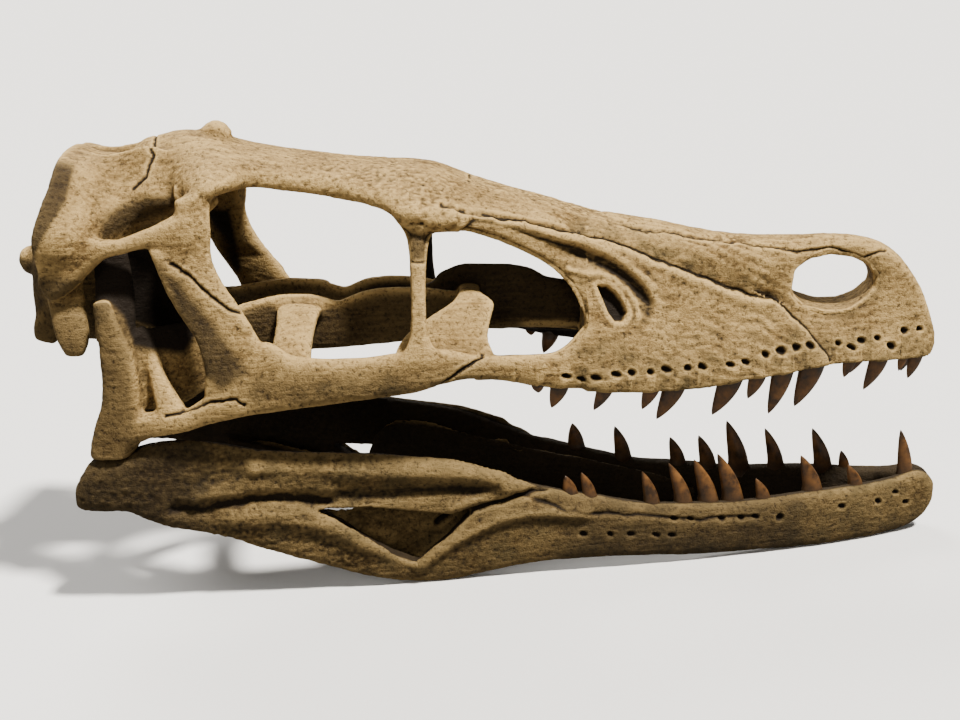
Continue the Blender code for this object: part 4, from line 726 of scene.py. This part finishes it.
def skull_relief(points, normals):
    """Relief of the skull: fossae, sutures, cracks, holes and grain, with the marks for its colours: stain,
    and painted shade on inner faces, in pockets, under overhangs and in holes.
    """
    x, y, z = points.T
    outward_facing = normals[:, 1] * np.sign(y)
    outer = rising((np.abs(y) - wall(x, z) + 3.4) / 1.6) * rising((outward_facing - 0.05) / 0.3)
    outer = np.maximum(outer, rising((x - 20) / 8) * rising((outward_facing - 0.15) / 0.3))
    top = rising((normals[:, 2] - 0.1) / 0.3)
    skin = np.maximum(outer, top * rising((z - 30) / 4))
    warped = points + 1.2 * drift(points, 9, (31, 32, 33))
    wx, _, wz = (points + 0.4 * drift(points, 3, (34, 0, 35)) + 0.15 * drift(points, 1, (36, 0, 37))).T
    height = np.zeros(len(x))
    # The fossa before the side opening: a floor with a furrow under its upper and front rim, and a slot.
    fossa = inside(x, z, FOSSA)
    steep = rising((z - 15) / 11)
    height -= outer * (0.4 + 0.8 * steep) * rising((fossa + 0.5) / (3.6 - 2.2 * steep))
    furrow = bell(fossa - 2.1, 1.6) * steep * rising((x - 18) / 14)
    height -= outer * 1.15 * furrow
    height += outer * 0.35 * steep * bell(fossa + 1.2, 1.1)
    ridge, _ = off_line(x, z, FOSSA_RIDGE)
    height += outer * 0.7 * bell(ridge, 1.0)
    slot = inside(x, z, SLOT)
    height -= outer * 2.6 * rising((slot + 0.3) / 0.9)
    height += outer * 0.3 * bell(slot + 1.0, 0.7)
    # The nasal bone sinks towards the edge of the maxilla, and the front bone dips under the maxilla's flap.
    distance, left = off_line(wx, wz, NASAL_EDGE)
    along = band(x, -6, 12, 88, 8)
    above = rising(left * distance / 0.8 + 0.5) * along
    valley = above * bell(distance, 5.0)
    height -= outer * (1.3 * valley + 0.7 * bell(distance, 0.6))
    height += outer * 0.35 * along * (1 - above) * bell(distance - 1.4, 1.2)
    distance, left = off_line(wx, wz, SNOUT_SUTURE)
    below = 0.7 * rising(left * distance / 0.6 + 0.5) * bell(distance, 4)
    height -= outer * (below + 0.5 * bell(distance, 0.5))
    height += outer * 0.3 * rising(0.5 - left * distance / 0.6) * bell(distance, 3)
    rim = (-inside(x, z, NARIS)).clip(0, None)
    height -= outer * 1.1 * bell(rim, 3.6) * rising((x - 86) / 10)
    # Sutures and cracks.
    height += skin * groove(wx, wz, NASAL_CRACK, 0.4, 0.6)
    cracks = np.zeros(len(x))
    for line, width, depth in ((CHEEK_SUTURE, 0.5, 0.9), (CHEEK_STEP, 0.45, 0.7), (EYE_SUTURE, 0.45, 0.8),
                               (TEAR_CRACK, 0.4, 0.5)):
        cracks += outer * groove(wx, wz, line, width, depth)
    cracks += top * groove(wx, wz, ROOF_CRACK, 0.4, 0.6)
    height += cracks
    # A ridge along the foot of the keel, the hollow below the brow and the rough boss over it.
    keel_ridge = 0.8 * bell(z - 11.4, 0.9) * (np.abs(y) < 5)
    height += keel_ridge * rising((x - 1) / 4) * rising((50 - x) / 8)
    brow = within(x, z, TEAR_SHADE, 1, 2.5)
    height -= outer * 1.0 * brow
    boss = within(x, z, LACRIMAL_BOSS, 1, 2.5)
    height += outer * 0.8 * boss * (1 + 0.5 * noise(points, 2.4, 44))
    # Holes above the teeth, and the swell of each root.
    holes = pits(wx, wz, MAXILLA_PITS + SNOUT_PITS, 0.85, 1.5)
    height += outer * holes
    gums = rising((x - 20) / 8) * rising((17 - z) / 9)
    for place, base, _, _, line, _ in UPPER_TEETH:
        root = bell(x - place - 0.3 * (z - line), 0.42 * base)
        height += outer * 0.4 * (root - 0.4) * bell(z - line - 1.5, 3.4) * (np.abs(x - place) < 6)
    ribs = np.cos((z + 0.5 * x + 1.6 * noise(points, 7, 38)) * 2 * math.pi / 3.4)
    ribs = outer * 0.13 * ribs * rising((x - 40) / 6) * rising((92 - x) / 8)
    height += ribs * (0.5 + 0.5 * noise(points, 6, 39))
    # Rough bone along the rim of the eye and over the temples.
    rough = sum(within(x, z, outline, 3, 6) for outline in ROUGH) + boss
    pitting = layers(points, [(1.7, 0.5), (0.95, 0.5)], 40)
    height += skin * (0.09 + 0.2 * rough) * pitting
    grain = layers(warped * np.array([0.16, 1, 1]), [(1.3, 0.6), (0.7, 0.4)], 50)
    height += 0.12 * grain * (1 - 0.5 * rough)
    height += 0.2 * layers(points, [(9, 0.6), (4.5, 0.4)], 60)
    # Stain lies over the tooth roots, along the nasal's edge, on the cheek and along the lower bar.
    bar_stain = band(x, -66, 8, 10, 8) * bell(z - 3.4, 4.5)
    stain = outer * np.maximum.reduce([
        gums * (0.7 + 0.5 * noise(points, 4, 70)),
        1.2 * valley,
        within(x, z, CHEEK_STAIN, 2, 6) * (0.7 + 0.4 * noise(points, 5, 71)),
        bar_stain * (0.65 + 0.5 * noise(points, 6, 73))])
    # Painted shade, where little light would reach: the inner faces (less where they face up, save near the
    # jugal and on the ledge), the keel, deep pockets, the temple, the crest's rear edge, the lower rear, the
    # quadrate, the rim of the naris, under the brow, in the furrow, the slot and the holes. Darkened as well:
    # the cheek's dark patch, the lower bar's stain and the cracks, as dark joints.
    depth = wall(x, z) - np.abs(y)
    inward = rising((0.1 - outward_facing) / 0.3)
    ledge = band(z, 2, 1.5, 9, 1.5) * rising((normals[:, 2] - 0.82) / 0.12)
    keel = band(x, -24, 6, 60, 8) * rising((32 - z) / 3) * rising((4.5 - np.abs(y)) / 1.5)
    sill = rising((13.4 - z) / 0.8) * rising((x - 1) / 4)
    painted_shade_and_stain = np.maximum.reduce([
        inward * (1 - 0.8 * top) * (1 - 0.75 * rising((z - 8) / 8) * rising((-30 - x) / 10)),
        inward * rising((x - 2) / 4) * rising((27 - z) / 3) * (1 - 0.8 * ledge),
        0.9 * keel * (1 - 0.72 * sill),
        0.75 * rising((depth - 12) / 8) * rising((50 - z) / 6) * rising((16 - x) / 6) * (1 - top),
        within(x, z, TEMPLE_SHADE, 1, 3) * rising((depth - 2.4) / 2),
        0.85 * within(x, z, TEMPLE_POCKET, 1.5, 4) * rising((depth - 4) / 3),
        0.85 * within(x, z, CREST_EDGE, 0.6, 1.6) * rising((np.abs(y) - 12) / 6),
        0.6 * rising((-z - 2) / 12) * rising((-84 - x) / 6),
        0.6 * rising((26 - z) / 4) * rising((-90 - x) / 4),
        0.75 * outer * band(z, 14, 8, 34, 4) * rising((-94 - x) / 4),
        0.8 * outer * within(x, z, CHEEK_DARK, 2.5, 4),
        0.55 * outer * bell(rim, 2.2) * rising((x - 94) / 6),
        0.45 * outer * bar_stain,
        0.75 * outer * brow,
        0.5 * outer * furrow,
        outer * rising((slot + 0.2) / 0.8),
        outer * (-holes / 1.1 - 0.1),
        -1.1 * cracks])
    return height, {"stain": stain.clip(0, 1), "painted_shade_and_stain": painted_shade_and_stain.clip(0, 1)}


def jaw_relief(points, normals):
    """Relief of the lower jaw: the shelf and seam at the rear, the fork, groove and holes, with its marks:
    stain, and painted shade on its inner faces, in holes and the cleft, along the dentary, towards its lower
    edge and at the rear.
    """
    x, y, z = points.T
    outer = rising((normals[:, 1] * np.sign(y) - 0.05) / 0.3)
    warped = points + 1.2 * drift(points, 9, (31, 32, 33))
    wx, _, wz = (points + 0.5 * drift(points, 3, (34, 0, 35))).T
    height = np.zeros(len(x))
    height -= outer * groove(x, z, FORK_RIDGE, 2.0, 1.3)
    height -= outer * groove(x, z, FORK_TOP, 1.8, 0.8)
    height -= outer * groove(x, z, SHELF, 3.2, 1.9)
    height += outer * groove(x, z, SHELF_FOOT, 2.4, 1.2) * rising((x + 58) / 20)
    height += outer * groove(wx, wz, JAW_SEAM, 1.8, 1.3)
    height -= outer * groove(x, z, REAR_SWELL, 2.6, 1.0)
    height -= outer * groove(x, z, ANGULAR_SWELL, 3.4, 1.5)
    cleft = -groove(wx, wz, FORK_CLEFT, 0.9, 1.7)
    height -= outer * cleft
    height += outer * groove(wx, wz, DENTARY_GROOVE, 0.6, 0.5)
    holes = pits(wx, wz, DENTARY_PITS, 0.7, 1.2)
    height += outer * holes
    grain = layers(warped * np.array([0.16, 1, 1]), [(1.4, 0.6), (0.7, 0.4)], 52)
    coarse = rising((-20 - x) / 20)
    height += (0.08 + 0.07 * coarse) * grain
    height += (0.1 + 0.14 * coarse) * layers(points, [(1.7, 0.5), (0.95, 0.5)], 42)
    height += 0.25 * layers(points, [(10, 0.6), (5, 0.4)], 62)
    # Painted shade towards the lower edge of the dentary, carried into both the stain and the darkening mark.
    low_shade = rising((-41 - z) / 9) * rising((x - 10) / 20)
    stain = np.maximum(0.55 + 0.45 * noise(points, 7, 72), low_shade)
    # Painted shade: the inner faces, the holes and the cleft, the dentary, its lower edge, and the jaw's
    # rear.
    painted_shade_and_stain = np.maximum.reduce([
        0.95 * (1 - outer),
        outer * (-holes / 0.9 - 0.1),
        0.5 * outer * cleft,
        outer * (0.44 * band(x, 14, 20, 104, 16) + 0.24 * low_shade),
        0.72 * outer * rising((-66 - x) / 18)])
    return height, {"stain": stain.clip(0, 1), "painted_shade_and_stain": painted_shade_and_stain.clip(0, 1)}


# ---------------------------------------------------------------- bones

def placed(points):
    """Points of the skull's own frame, in millimetres, turned and moved into the row's frame, in metres."""
    cosine, sine = math.cos(math.radians(REST_PITCH)), math.sin(math.radians(REST_PITCH))
    turn = np.array([[cosine, 0, sine], [0, 1, 0], [-sine, 0, cosine]])
    return (points @ turn.T + np.array(STANCE)) * MM


def healed(mesh):
    """Gives the points that a cut added the mean marks of their known neighbours, round by round."""
    old = np.zeros(len(mesh.vertices))
    mesh.attributes["old"].data.foreach_get("value", old)
    new = old < 0.999
    if not new.any():
        return
    edges = listed(mesh.edges, "vertices", 2, np.int32)
    edges = edges[new[edges].any(1)]
    for name in ("hollow", "dell", "stain", "painted_shade_and_stain"):
        values = np.zeros(len(old))
        mesh.attributes[name].data.foreach_get("value", values)
        known = (~new).astype(float)
        for _ in range(4):
            total = np.zeros(len(old))
            weight = np.zeros(len(old))
            for one, other in ((0, 1), (1, 0)):
                np.add.at(total, edges[:, one], (values * known)[edges[:, other]])
                np.add.at(weight, edges[:, one], known[edges[:, other]])
            reached = new & (weight > 0)
            values[reached] = total[reached] / weight[reached]
            known[reached] = 1
        mesh.attributes[name].data.foreach_set("value", values.astype(np.float32))


def finished(obj, name, material, nodes):
    """Brings a piece into the row's frame, gives it its material and lets it stand for its nodes."""
    mesh = obj.data
    if "old" in mesh.attributes:
        healed(mesh)
    points = placed(points_of(mesh))
    points[:, 2] = np.maximum(points[:, 2], 0)
    mesh.vertices.foreach_set("co", points.astype(np.float32).ravel())
    mesh.materials.clear()
    mesh.materials.append(material)
    mesh.shade_smooth()
    mesh.set_sharp_from_angle(angle=math.radians(50))
    mesh.update()
    obj.name = name
    mesh.name = name
    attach(obj, "root")
    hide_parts(*nodes)
    return obj


def part_bones(whole, regions, material, rest):
    """Parts a whole along its sutures: a bone or a pair of bones for each region, and the rest as one."""
    for name, outline, inner, outer, paired in regions:
        ranges = [("", -outer, outer)]
        if paired:
            ranges = [(tag, side * inner, side * outer) for side, tag in SIDES]
        for tag, y_from, y_to in ranges:
            bone = linked(name + tag, whole.data.copy())
            subtracted(bone, outline, y_from, y_to, "INTERSECT")
            finished(bone, name + tag + "_bone", material, [name + tag])
        for tag, y_from, y_to in ranges:
            subtracted(whole, outline, y_from, y_to)
    finished(whole, rest + "_bone", material, [rest])


def skull_whole():
    """The whole skull above the lower jaw: all limbs on both sides, fused, softened and with its relief."""
    flush = [ASCENDING, LOWER_BAR, JUGAL_RISE, POSTORBITAL_DROP, TEMPORAL_BAR, LACRIMAL, QUADRATE]
    inside_limbs = [QUADRATE_WING, PTERYGOID, NUCHAL_WING, ECTOPTERYGOID]
    sides = [bar(stations) for stations in flush] + [plate(stations) for stations in inside_limbs]
    sides += [plate(stations, upright=(1, 0, 0)) for stations in (PAROCCIPITAL, TUBER)]
    sides += [sheet(CREST_SHEET, 4.4), plate(MAXILLA_SHELF), plate(BROW_ROOT), fan(PALATINE)]
    sides += [plate(stations, upright=(1, 0, 0)) for stations in (QUADRATE_RIDGE, QUADRATE_HEAD)]
    snout = linked("snout", mesh_of("snout", [shell(SNOUT, 200)]))
    subtracted(snout, NARIS, -BEYOND, BEYOND)
    grids = [shell(ROOF, 240), shell(BRAINCASE, 120), plate(KEEL), plate(CONDYLE), plate(BOSS)]
    whole = linked("skull", mesh_of("skull", grids + sides + [side * np.array([1, -1, 1]) for side in sides]))
    with bpy.context.temp_override(active_object=whole, selected_editable_objects=[whole, snout]):
        bpy.ops.object.join()
    fused(whole, 9)
    pressed(whole, skull_relief)
    return whole


def jaw_whole(side):
    """The outer bones of a half of the lower jaw, fused, softened and with their relief."""
    half = linked("jaw", mesh_of("jaw", [upright(JAW, side, JAW_WALL, 0)]))
    subtracted(half, JAW_OPENING, side * 5, side * BEYOND)
    subtracted(half, EVERYWHERE, side * SUTURE_GAP / 2, -side * BEYOND)
    fused(half, 7)
    pressed(half, jaw_relief)
    return half


def splenial_plate(side):
    """The inner plate of a half of the lower jaw, which shows through the opening."""
    rows = [(x, low, high, table(JAW, x, 3)) for x, low, high in SPLENIAL]
    thickness = [(-200, SPLENIAL_THICKNESS), (200, SPLENIAL_THICKNESS)]
    grid = upright(rows, side, thickness, SPLENIAL_INSET, 160, 48)
    inner = linked("splenial", mesh_of("splenial", [grid]))
    fused(inner, 3)
    pressed(inner, jaw_relief)
    return inner


def tooth_row(name, rows, side, upward, node, material):
    """A row of teeth of one jaw bone."""
    blades = [tooth(x, side * (half - TOOTH_INSET * base), root, TOOTH_REACH * length * upward, base, lean)
              for x, base, length, lean, root, half in rows]
    mesh = mesh_of(name, blades)
    reach = np.tile(np.repeat(np.linspace(-TOOTH_SUNK, 1, TOOTH_RINGS), TOOTH_SIDES), len(rows))
    painted(mesh, "reach", reach)
    obj = linked(name, mesh)
    return finished(obj, name, material, [node])


# ---------------------------------------------------------------- materials

def group(name, inputs, outputs):
    """An empty shader node group with named inputs and outputs."""
    made = bpy.data.node_groups.new(name, "ShaderNodeTree")
    for label, kind, default in inputs:
        socket = made.interface.new_socket(label, in_out="INPUT", socket_type=kind)
        socket.default_value = default
    for label, kind in outputs:
        made.interface.new_socket(label, in_out="OUTPUT", socket_type=kind)
    return made, made.nodes.new("NodeGroupInput"), made.nodes.new("NodeGroupOutput")


def texture(tree, coordinates, scale, detail, roughness=0.6, stretch=(1, 1, 1)):
    """A noise texture on object coordinates, stretched along the axes."""
    mapping = tree.nodes.new("ShaderNodeMapping")
    mapping.inputs["Scale"].default_value = stretch
    tree.links.new(coordinates, mapping.inputs["Vector"])
    made = tree.nodes.new("ShaderNodeTexNoise")
    made.inputs["Scale"].default_value = scale
    made.inputs["Detail"].default_value = detail
    made.inputs["Roughness"].default_value = roughness
    tree.links.new(mapping.outputs["Vector"], made.inputs["Vector"])
    return made.outputs["Fac"]


def spread(tree, value, low, high, to_low=0.0, to_high=1.0):
    """A value carried from one range to another, clamped."""
    made = tree.nodes.new("ShaderNodeMapRange")
    made.inputs["From Min"].default_value = low
    made.inputs["From Max"].default_value = high
    made.inputs["To Min"].default_value = to_low
    made.inputs["To Max"].default_value = to_high
    tree.links.new(value, made.inputs["Value"])
    return made.outputs["Result"]


def reckoned(tree, operation, first, second):
    """A Math node on two values, each a socket or a number."""
    made = tree.nodes.new("ShaderNodeMath")
    made.operation = operation
    for socket, value in zip(made.inputs, (first, second)):
        if isinstance(value, (int, float)):
            socket.default_value = value
        else:
            tree.links.new(value, socket)
    return made.outputs["Value"]


def weighted(tree, *terms):
    """A sum of values, each times its share."""
    total = None
    for value, share in terms:
        part = reckoned(tree, "MULTIPLY", value, share)
        total = part if total is None else reckoned(tree, "ADD", total, part)
    return total


def mixed(tree, share, first, second):
    """A colour mix, each colour a socket or three numbers."""
    made = tree.nodes.new("ShaderNodeMix")
    made.data_type = "RGBA"
    for label, value in (("Factor", share), ("A", first), ("B", second)):
        socket = made.inputs[label]
        if isinstance(value, bpy.types.NodeSocket):
            tree.links.new(value, socket)
        elif socket.type == "RGBA":
            socket.default_value = (*tuple(value)[:3], 1)
        else:
            socket.default_value = value
    return made.outputs["Result"]


def attribute(tree, name):
    """A point attribute of the piece."""
    made = tree.nodes.new("ShaderNodeAttribute")
    made.attribute_name = name
    return made.outputs["Fac"]


def pore_group():
    """Pores and fibres of bone: masks of dark pores and light flecks, a mottle, and a height for bump."""
    tree, given, out = group("Pores", [("Vector", "NodeSocketVector", (0, 0, 0))],
                             [(name, "NodeSocketFloat") for name in ("Pores", "Flecks", "Mottle", "Height")])
    place = given.outputs["Vector"]
    speckle = texture(tree, place, 900, 6, 0.7)
    fibre = texture(tree, place, 700, 4, 0.6, (0.16, 1, 1))
    cloud = texture(tree, place, 75, 6, 0.62)
    fine = texture(tree, place, 2600, 3, 0.6)
    pores = spread(tree, speckle, 0.47, 0.34)
    flecks = spread(tree, texture(tree, place, 1250, 4, 0.7, (0.7, 1, 1)), 0.53, 0.64)
    mottle = weighted(tree, (cloud, 0.45), (fibre, 0.3), (speckle, 0.25))
    height = weighted(tree, (speckle, 0.6), (fibre, 0.5), (fine, 0.25))
    for value, socket in zip((pores, flecks, mottle, height), out.inputs):
        tree.links.new(value, socket)
    return tree


def blank(name):
    """A new material, with its node tree and its shader."""
    made = bpy.data.materials.new(name)
    made.use_nodes = True
    return made, made.node_tree, made.node_tree.nodes["Principled BSDF"]


def bumped(tree, shader, height, strength, distance):
    """Gives a shader the bump of a height."""
    bump = tree.nodes.new("ShaderNodeBump")
    bump.inputs["Strength"].default_value = strength
    bump.inputs["Distance"].default_value = distance
    tree.links.new(height, bump.inputs["Height"])
    tree.links.new(bump.outputs["Normal"], shader.inputs["Normal"])


def bone_material(name, pores, light, middle, deep, stain_colour, shade_and_stain_share):
    """Fossil bone: tan with a cream mottle, grey-green in stains; cream where it is proud, part wear and part
    painted highlight; dark brown as painted shade in hollows and where the darkening mark lies, and in pores.
    """
    made, tree, shader = blank(name)
    place = tree.nodes.new("ShaderNodeTexCoord").outputs["Object"]
    grain = tree.nodes.new("ShaderNodeGroup")
    grain.node_tree = pores
    tree.links.new(place, grain.inputs["Vector"])
    hollow, dell = attribute(tree, "hollow"), attribute(tree, "dell")
    stain, painted_shade_and_stain = attribute(tree, "stain"), attribute(tree, "painted_shade_and_stain")
    mottle = spread(tree, grain.outputs["Mottle"], 0.41, 0.6, 0, 0.72)
    colour = mixed(tree, mottle, middle, light)
    relief = weighted(tree, (hollow, 0.7), (dell, 0.7))
    # Painted highlight and wear: proud, convex bone turns to the worn colour.
    wear_and_highlight = spread(tree, relief, -0.02, -0.6, 0, 0.85)
    colour = mixed(tree, wear_and_highlight, colour, light)
    colour = mixed(tree, reckoned(tree, "MULTIPLY", grain.outputs["Flecks"], 0.5), colour, light)
    stained = reckoned(tree, "MULTIPLY", stain, spread(tree, texture(tree, place, 160, 5, 0.65), 0.35, 0.6))
    colour = mixed(tree, reckoned(tree, "MULTIPLY", stained, 0.8), colour, stain_colour)
    # Painted shade: bone in hollows and dells turns to the hollow colour.
    hollow_shade = spread(tree, relief, 0.03, 0.75, 0, 0.95)
    colour = mixed(tree, hollow_shade, colour, deep)
    colour = mixed(tree, reckoned(tree, "MULTIPLY", grain.outputs["Pores"], 0.75), colour, deep)
    # Painted shade, with stain and dark cracks: where the darkening mark lies, bone turns to the hollow
    # colour.
    colour = mixed(tree, reckoned(tree, "MULTIPLY", painted_shade_and_stain, shade_and_stain_share), colour, deep)
    tree.links.new(colour, shader.inputs["Base Color"])
    rough = spread(tree, grain.outputs["Mottle"], 0.3, 0.7, 0.62, 0.82)
    tree.links.new(rough, shader.inputs["Roughness"])
    shader.inputs["Specular IOR Level"].default_value = 0.16
    bumped(tree, shader, grain.outputs["Height"], 1.0, 0.0009)
    return made


def enamel_material():
    """Fossil enamel: amber in the middle of the tooth, dark brown at its root and towards its tip."""
    made, tree, shader = blank("fossil_enamel")
    shader.inputs["Coat Weight"].default_value = 0.15
    place = tree.nodes.new("ShaderNodeTexCoord").outputs["Object"]
    reach = attribute(tree, "reach")
    cloud = texture(tree, place, 260, 5, 0.65)
    colour = mixed(tree, spread(tree, cloud, 0.35, 0.62), (0.03, 0.014, 0.005), (0.165, 0.07, 0.016))
    colour = mixed(tree, spread(tree, reach, 0.35, 0.0, 0, 0.85), colour, (0.028, 0.015, 0.006))
    colour = mixed(tree, spread(tree, reach, 0.8, 1.0, 0, 0.5), colour, (0.035, 0.017, 0.006))
    tree.links.new(colour, shader.inputs["Base Color"])
    rough = spread(tree, cloud, 0.3, 0.7, 0.28, 0.5)
    tree.links.new(rough, shader.inputs["Roughness"])
    bumped(tree, shader, texture(tree, place, 900, 4, 0.6, (1, 1, 0.25)), 0.25, 0.0003)
    return made


def floor_material():
    """Plain pale paper, which casts less light back on the bones than the camera sees."""
    made, tree, shader = blank("pale_floor")
    seen = tree.nodes.new("ShaderNodeLightPath").outputs["Is Camera Ray"]
    tree.links.new(mixed(tree, seen, (0.14, 0.135, 0.125), (0.9, 0.9, 0.9)), shader.inputs["Base Color"])
    shader.inputs["Roughness"].default_value = 0.9
    return made


def bone(name, share, shade_and_stain_share):
    """The bone material of that name, its light and middle colours dimmed to a share, made once; dimmed for
    the lower jaw, it is painted shade.
    """
    colours = bpy.context.scene.skull_colours
    pores = bpy.data.node_groups.get("Pores") or pore_group()
    light = [share * value for value in colours.light]
    middle = [share * value for value in colours.middle]
    made = bpy.data.materials.get(name)
    return made or bone_material(name, pores, light, middle, colours.deep, colours.stain, shade_and_stain_share)


def warm_bone():
    """The skull's bone."""
    return bone("warm_bone", 1.0, 1.0)


def shaded_jaw_bone():
    """The lower jaw's bone: the skull's bone dimmed to a darker copy, as painted shade."""
    # Painted shade: the lower jaw's light and middle colours dimmed to 0.46 of the skull's.
    return bone("jaw_bone_painted_shade", 0.46, 0.95)


# ---------------------------------------------------------------- the add-on

class SkullSizes(bpy.types.PropertyGroup):
    """Fineness of the bones' surfaces."""

    voxel: FloatProperty(name="Voxel", description="Fineness of the fused bones, in millimetres",
                         default=VOXEL, min=0.3)


def colour_setting(name, description, default):
    """A colour setting."""
    return FloatVectorProperty(name=name, description=description, subtype="COLOR", default=default)


class SkullColours(bpy.types.PropertyGroup):
    """Colours of the bone."""

    # The worn colour is also the painted highlight on proud bone.
    light: colour_setting("Worn", "Proud, worn bone", (0.62, 0.42, 0.165))
    middle: colour_setting("Bone", "Bone between ridges", (0.145, 0.085, 0.027))
    # The hollow colour is also the painted shade, in hollows and where the darkening mark lies, besides the
    # pores.
    deep: colour_setting("Hollow", "Hollows and pores", (0.013, 0.0085, 0.005))
    stain: colour_setting("Stain", "Grey-green stain", (0.07, 0.052, 0.022))


class SKULL_OT_cranium(bpy.types.Operator):
    """Makes the bones of the skull above the lower jaw"""

    bl_idname = "skull.cranium"
    bl_label = "Skull bones"

    def execute(self, context):
        part_bones(skull_whole(), CRANIUM_BONES, warm_bone(), "braincase")
        return {"FINISHED"}


class SKULL_OT_jaw(bpy.types.Operator):
    """Makes the bones of the lower jaw"""

    bl_idname = "skull.jaw"
    bl_label = "Lower jaw"

    def execute(self, context):
        for side, tag in SIDES:
            regions = [(name + tag, outline, 0, BEYOND, False) for name, outline in JAW_BONES]
            part_bones(jaw_whole(side), regions, shaded_jaw_bone(), "angular" + tag)
            finished(splenial_plate(side), "splenial" + tag + "_bone", shaded_jaw_bone(), ["splenial" + tag])
        return {"FINISHED"}


class SKULL_OT_teeth(bpy.types.Operator):
    """Makes the rows of teeth"""

    bl_idname = "skull.teeth"
    bl_label = "Teeth"

    def execute(self, context):
        front = [row for row in UPPER_TEETH if row[0] > PREMAXILLA_FROM]
        enamel = bpy.data.materials.get("fossil_enamel") or enamel_material()
        for side, tag in SIDES:
            tooth_row("premaxilla_teeth" + tag, front, side, -1, "premaxilla" + tag, enamel)
            tooth_row("maxilla_teeth" + tag, UPPER_TEETH[:-len(front)], side, -1, "maxilla" + tag, enamel)
            tooth_row("dentary_teeth" + tag, LOWER_TEETH[tag], side, 1, "dentary" + tag, enamel)
        return {"FINISHED"}


class SKULL_OT_stage(bpy.types.Operator):
    """Makes the floor, the lights and the camera"""

    bl_idname = "skull.stage"
    bl_label = "Stage"

    def execute(self, context):
        corners = [(-FLOOR_HALF, -FLOOR_HALF, 0), (FLOOR_HALF, -FLOOR_HALF, 0), (FLOOR_HALF, FLOOR_HALF, 0),
                   (-FLOOR_HALF, FLOOR_HALF, 0)]
        mesh = bpy.data.meshes.new("floor")
        mesh.from_pydata(corners, [], [(0, 1, 2, 3)])
        mesh.materials.append(floor_material())
        floor = linked("floor", mesh)
        floor.location.z = -FLOOR_DROP
        world = bpy.data.worlds.new("studio")
        world.use_nodes = True
        world.node_tree.nodes["Background"].inputs["Color"].default_value = (1, 1, 1, 1)
        world.node_tree.nodes["Background"].inputs["Strength"].default_value = 0.12
        context.scene.world = world
        for name, strength, angle, tint, towards in LIGHTS:
            light = bpy.data.lights.new(name, "SUN")
            light.energy = strength
            light.angle = math.radians(angle)
            light.color = tint
            sun = linked(name, light)
            sun.rotation_euler = Vector(towards).to_track_quat("Z", "Y").to_euler()
        eye, target = (Vector(point) for point in placed(np.array([CAMERA_EYE, CAMERA_TARGET])))
        camera = bpy.data.cameras.new("camera")
        camera.sensor_width = 36
        camera.lens = CAMERA_FOCUS * camera.sensor_width
        camera.clip_start = 0.01
        obj = linked("camera", camera)
        pitch = math.radians(REST_PITCH)
        forward = (target - eye).normalized()
        right = Vector((math.cos(pitch), 0, -math.sin(pitch)))
        turn = Matrix((right, right.cross(forward), -forward)).transposed()
        obj.matrix_world = Matrix.Translation(eye) @ turn.to_4x4()
        context.scene.camera = obj
        return {"FINISHED"}


class SKULL_PT_panel(bpy.types.Panel):
    """Lists the steps and the sizes in the sidebar"""

    bl_idname = "SKULL_PT_panel"
    bl_label = "Dinosaur skull"
    bl_space_type = "VIEW_3D"
    bl_region_type = "UI"
    bl_category = "Skull"

    def draw(self, context):
        for operator in OPERATORS:
            self.layout.operator(operator.bl_idname)
        self.layout.prop(context.scene.skull_sizes, "voxel")
        for name in ("light", "middle", "deep", "stain"):
            self.layout.prop(context.scene.skull_colours, name)


OPERATORS = (SKULL_OT_cranium, SKULL_OT_jaw, SKULL_OT_teeth, SKULL_OT_stage)
CLASSES = (SkullSizes, SkullColours, *OPERATORS, SKULL_PT_panel)


def register():
    """Registers the classes and hangs the settings on the scene."""
    for made in CLASSES:
        bpy.utils.register_class(made)
    bpy.types.Scene.skull_sizes = PointerProperty(type=SkullSizes)
    bpy.types.Scene.skull_colours = PointerProperty(type=SkullColours)


def unregister():
    """Removes the settings and the classes."""
    del bpy.types.Scene.skull_colours
    del bpy.types.Scene.skull_sizes
    for made in reversed(CLASSES):
        bpy.utils.unregister_class(made)


def main():
    """Builds the whole model."""
    register()
    bpy.ops.skull.cranium()
    bpy.ops.skull.jaw()
    bpy.ops.skull.teeth()
    bpy.ops.skull.stage()


if __name__ == "__main__":
    main()
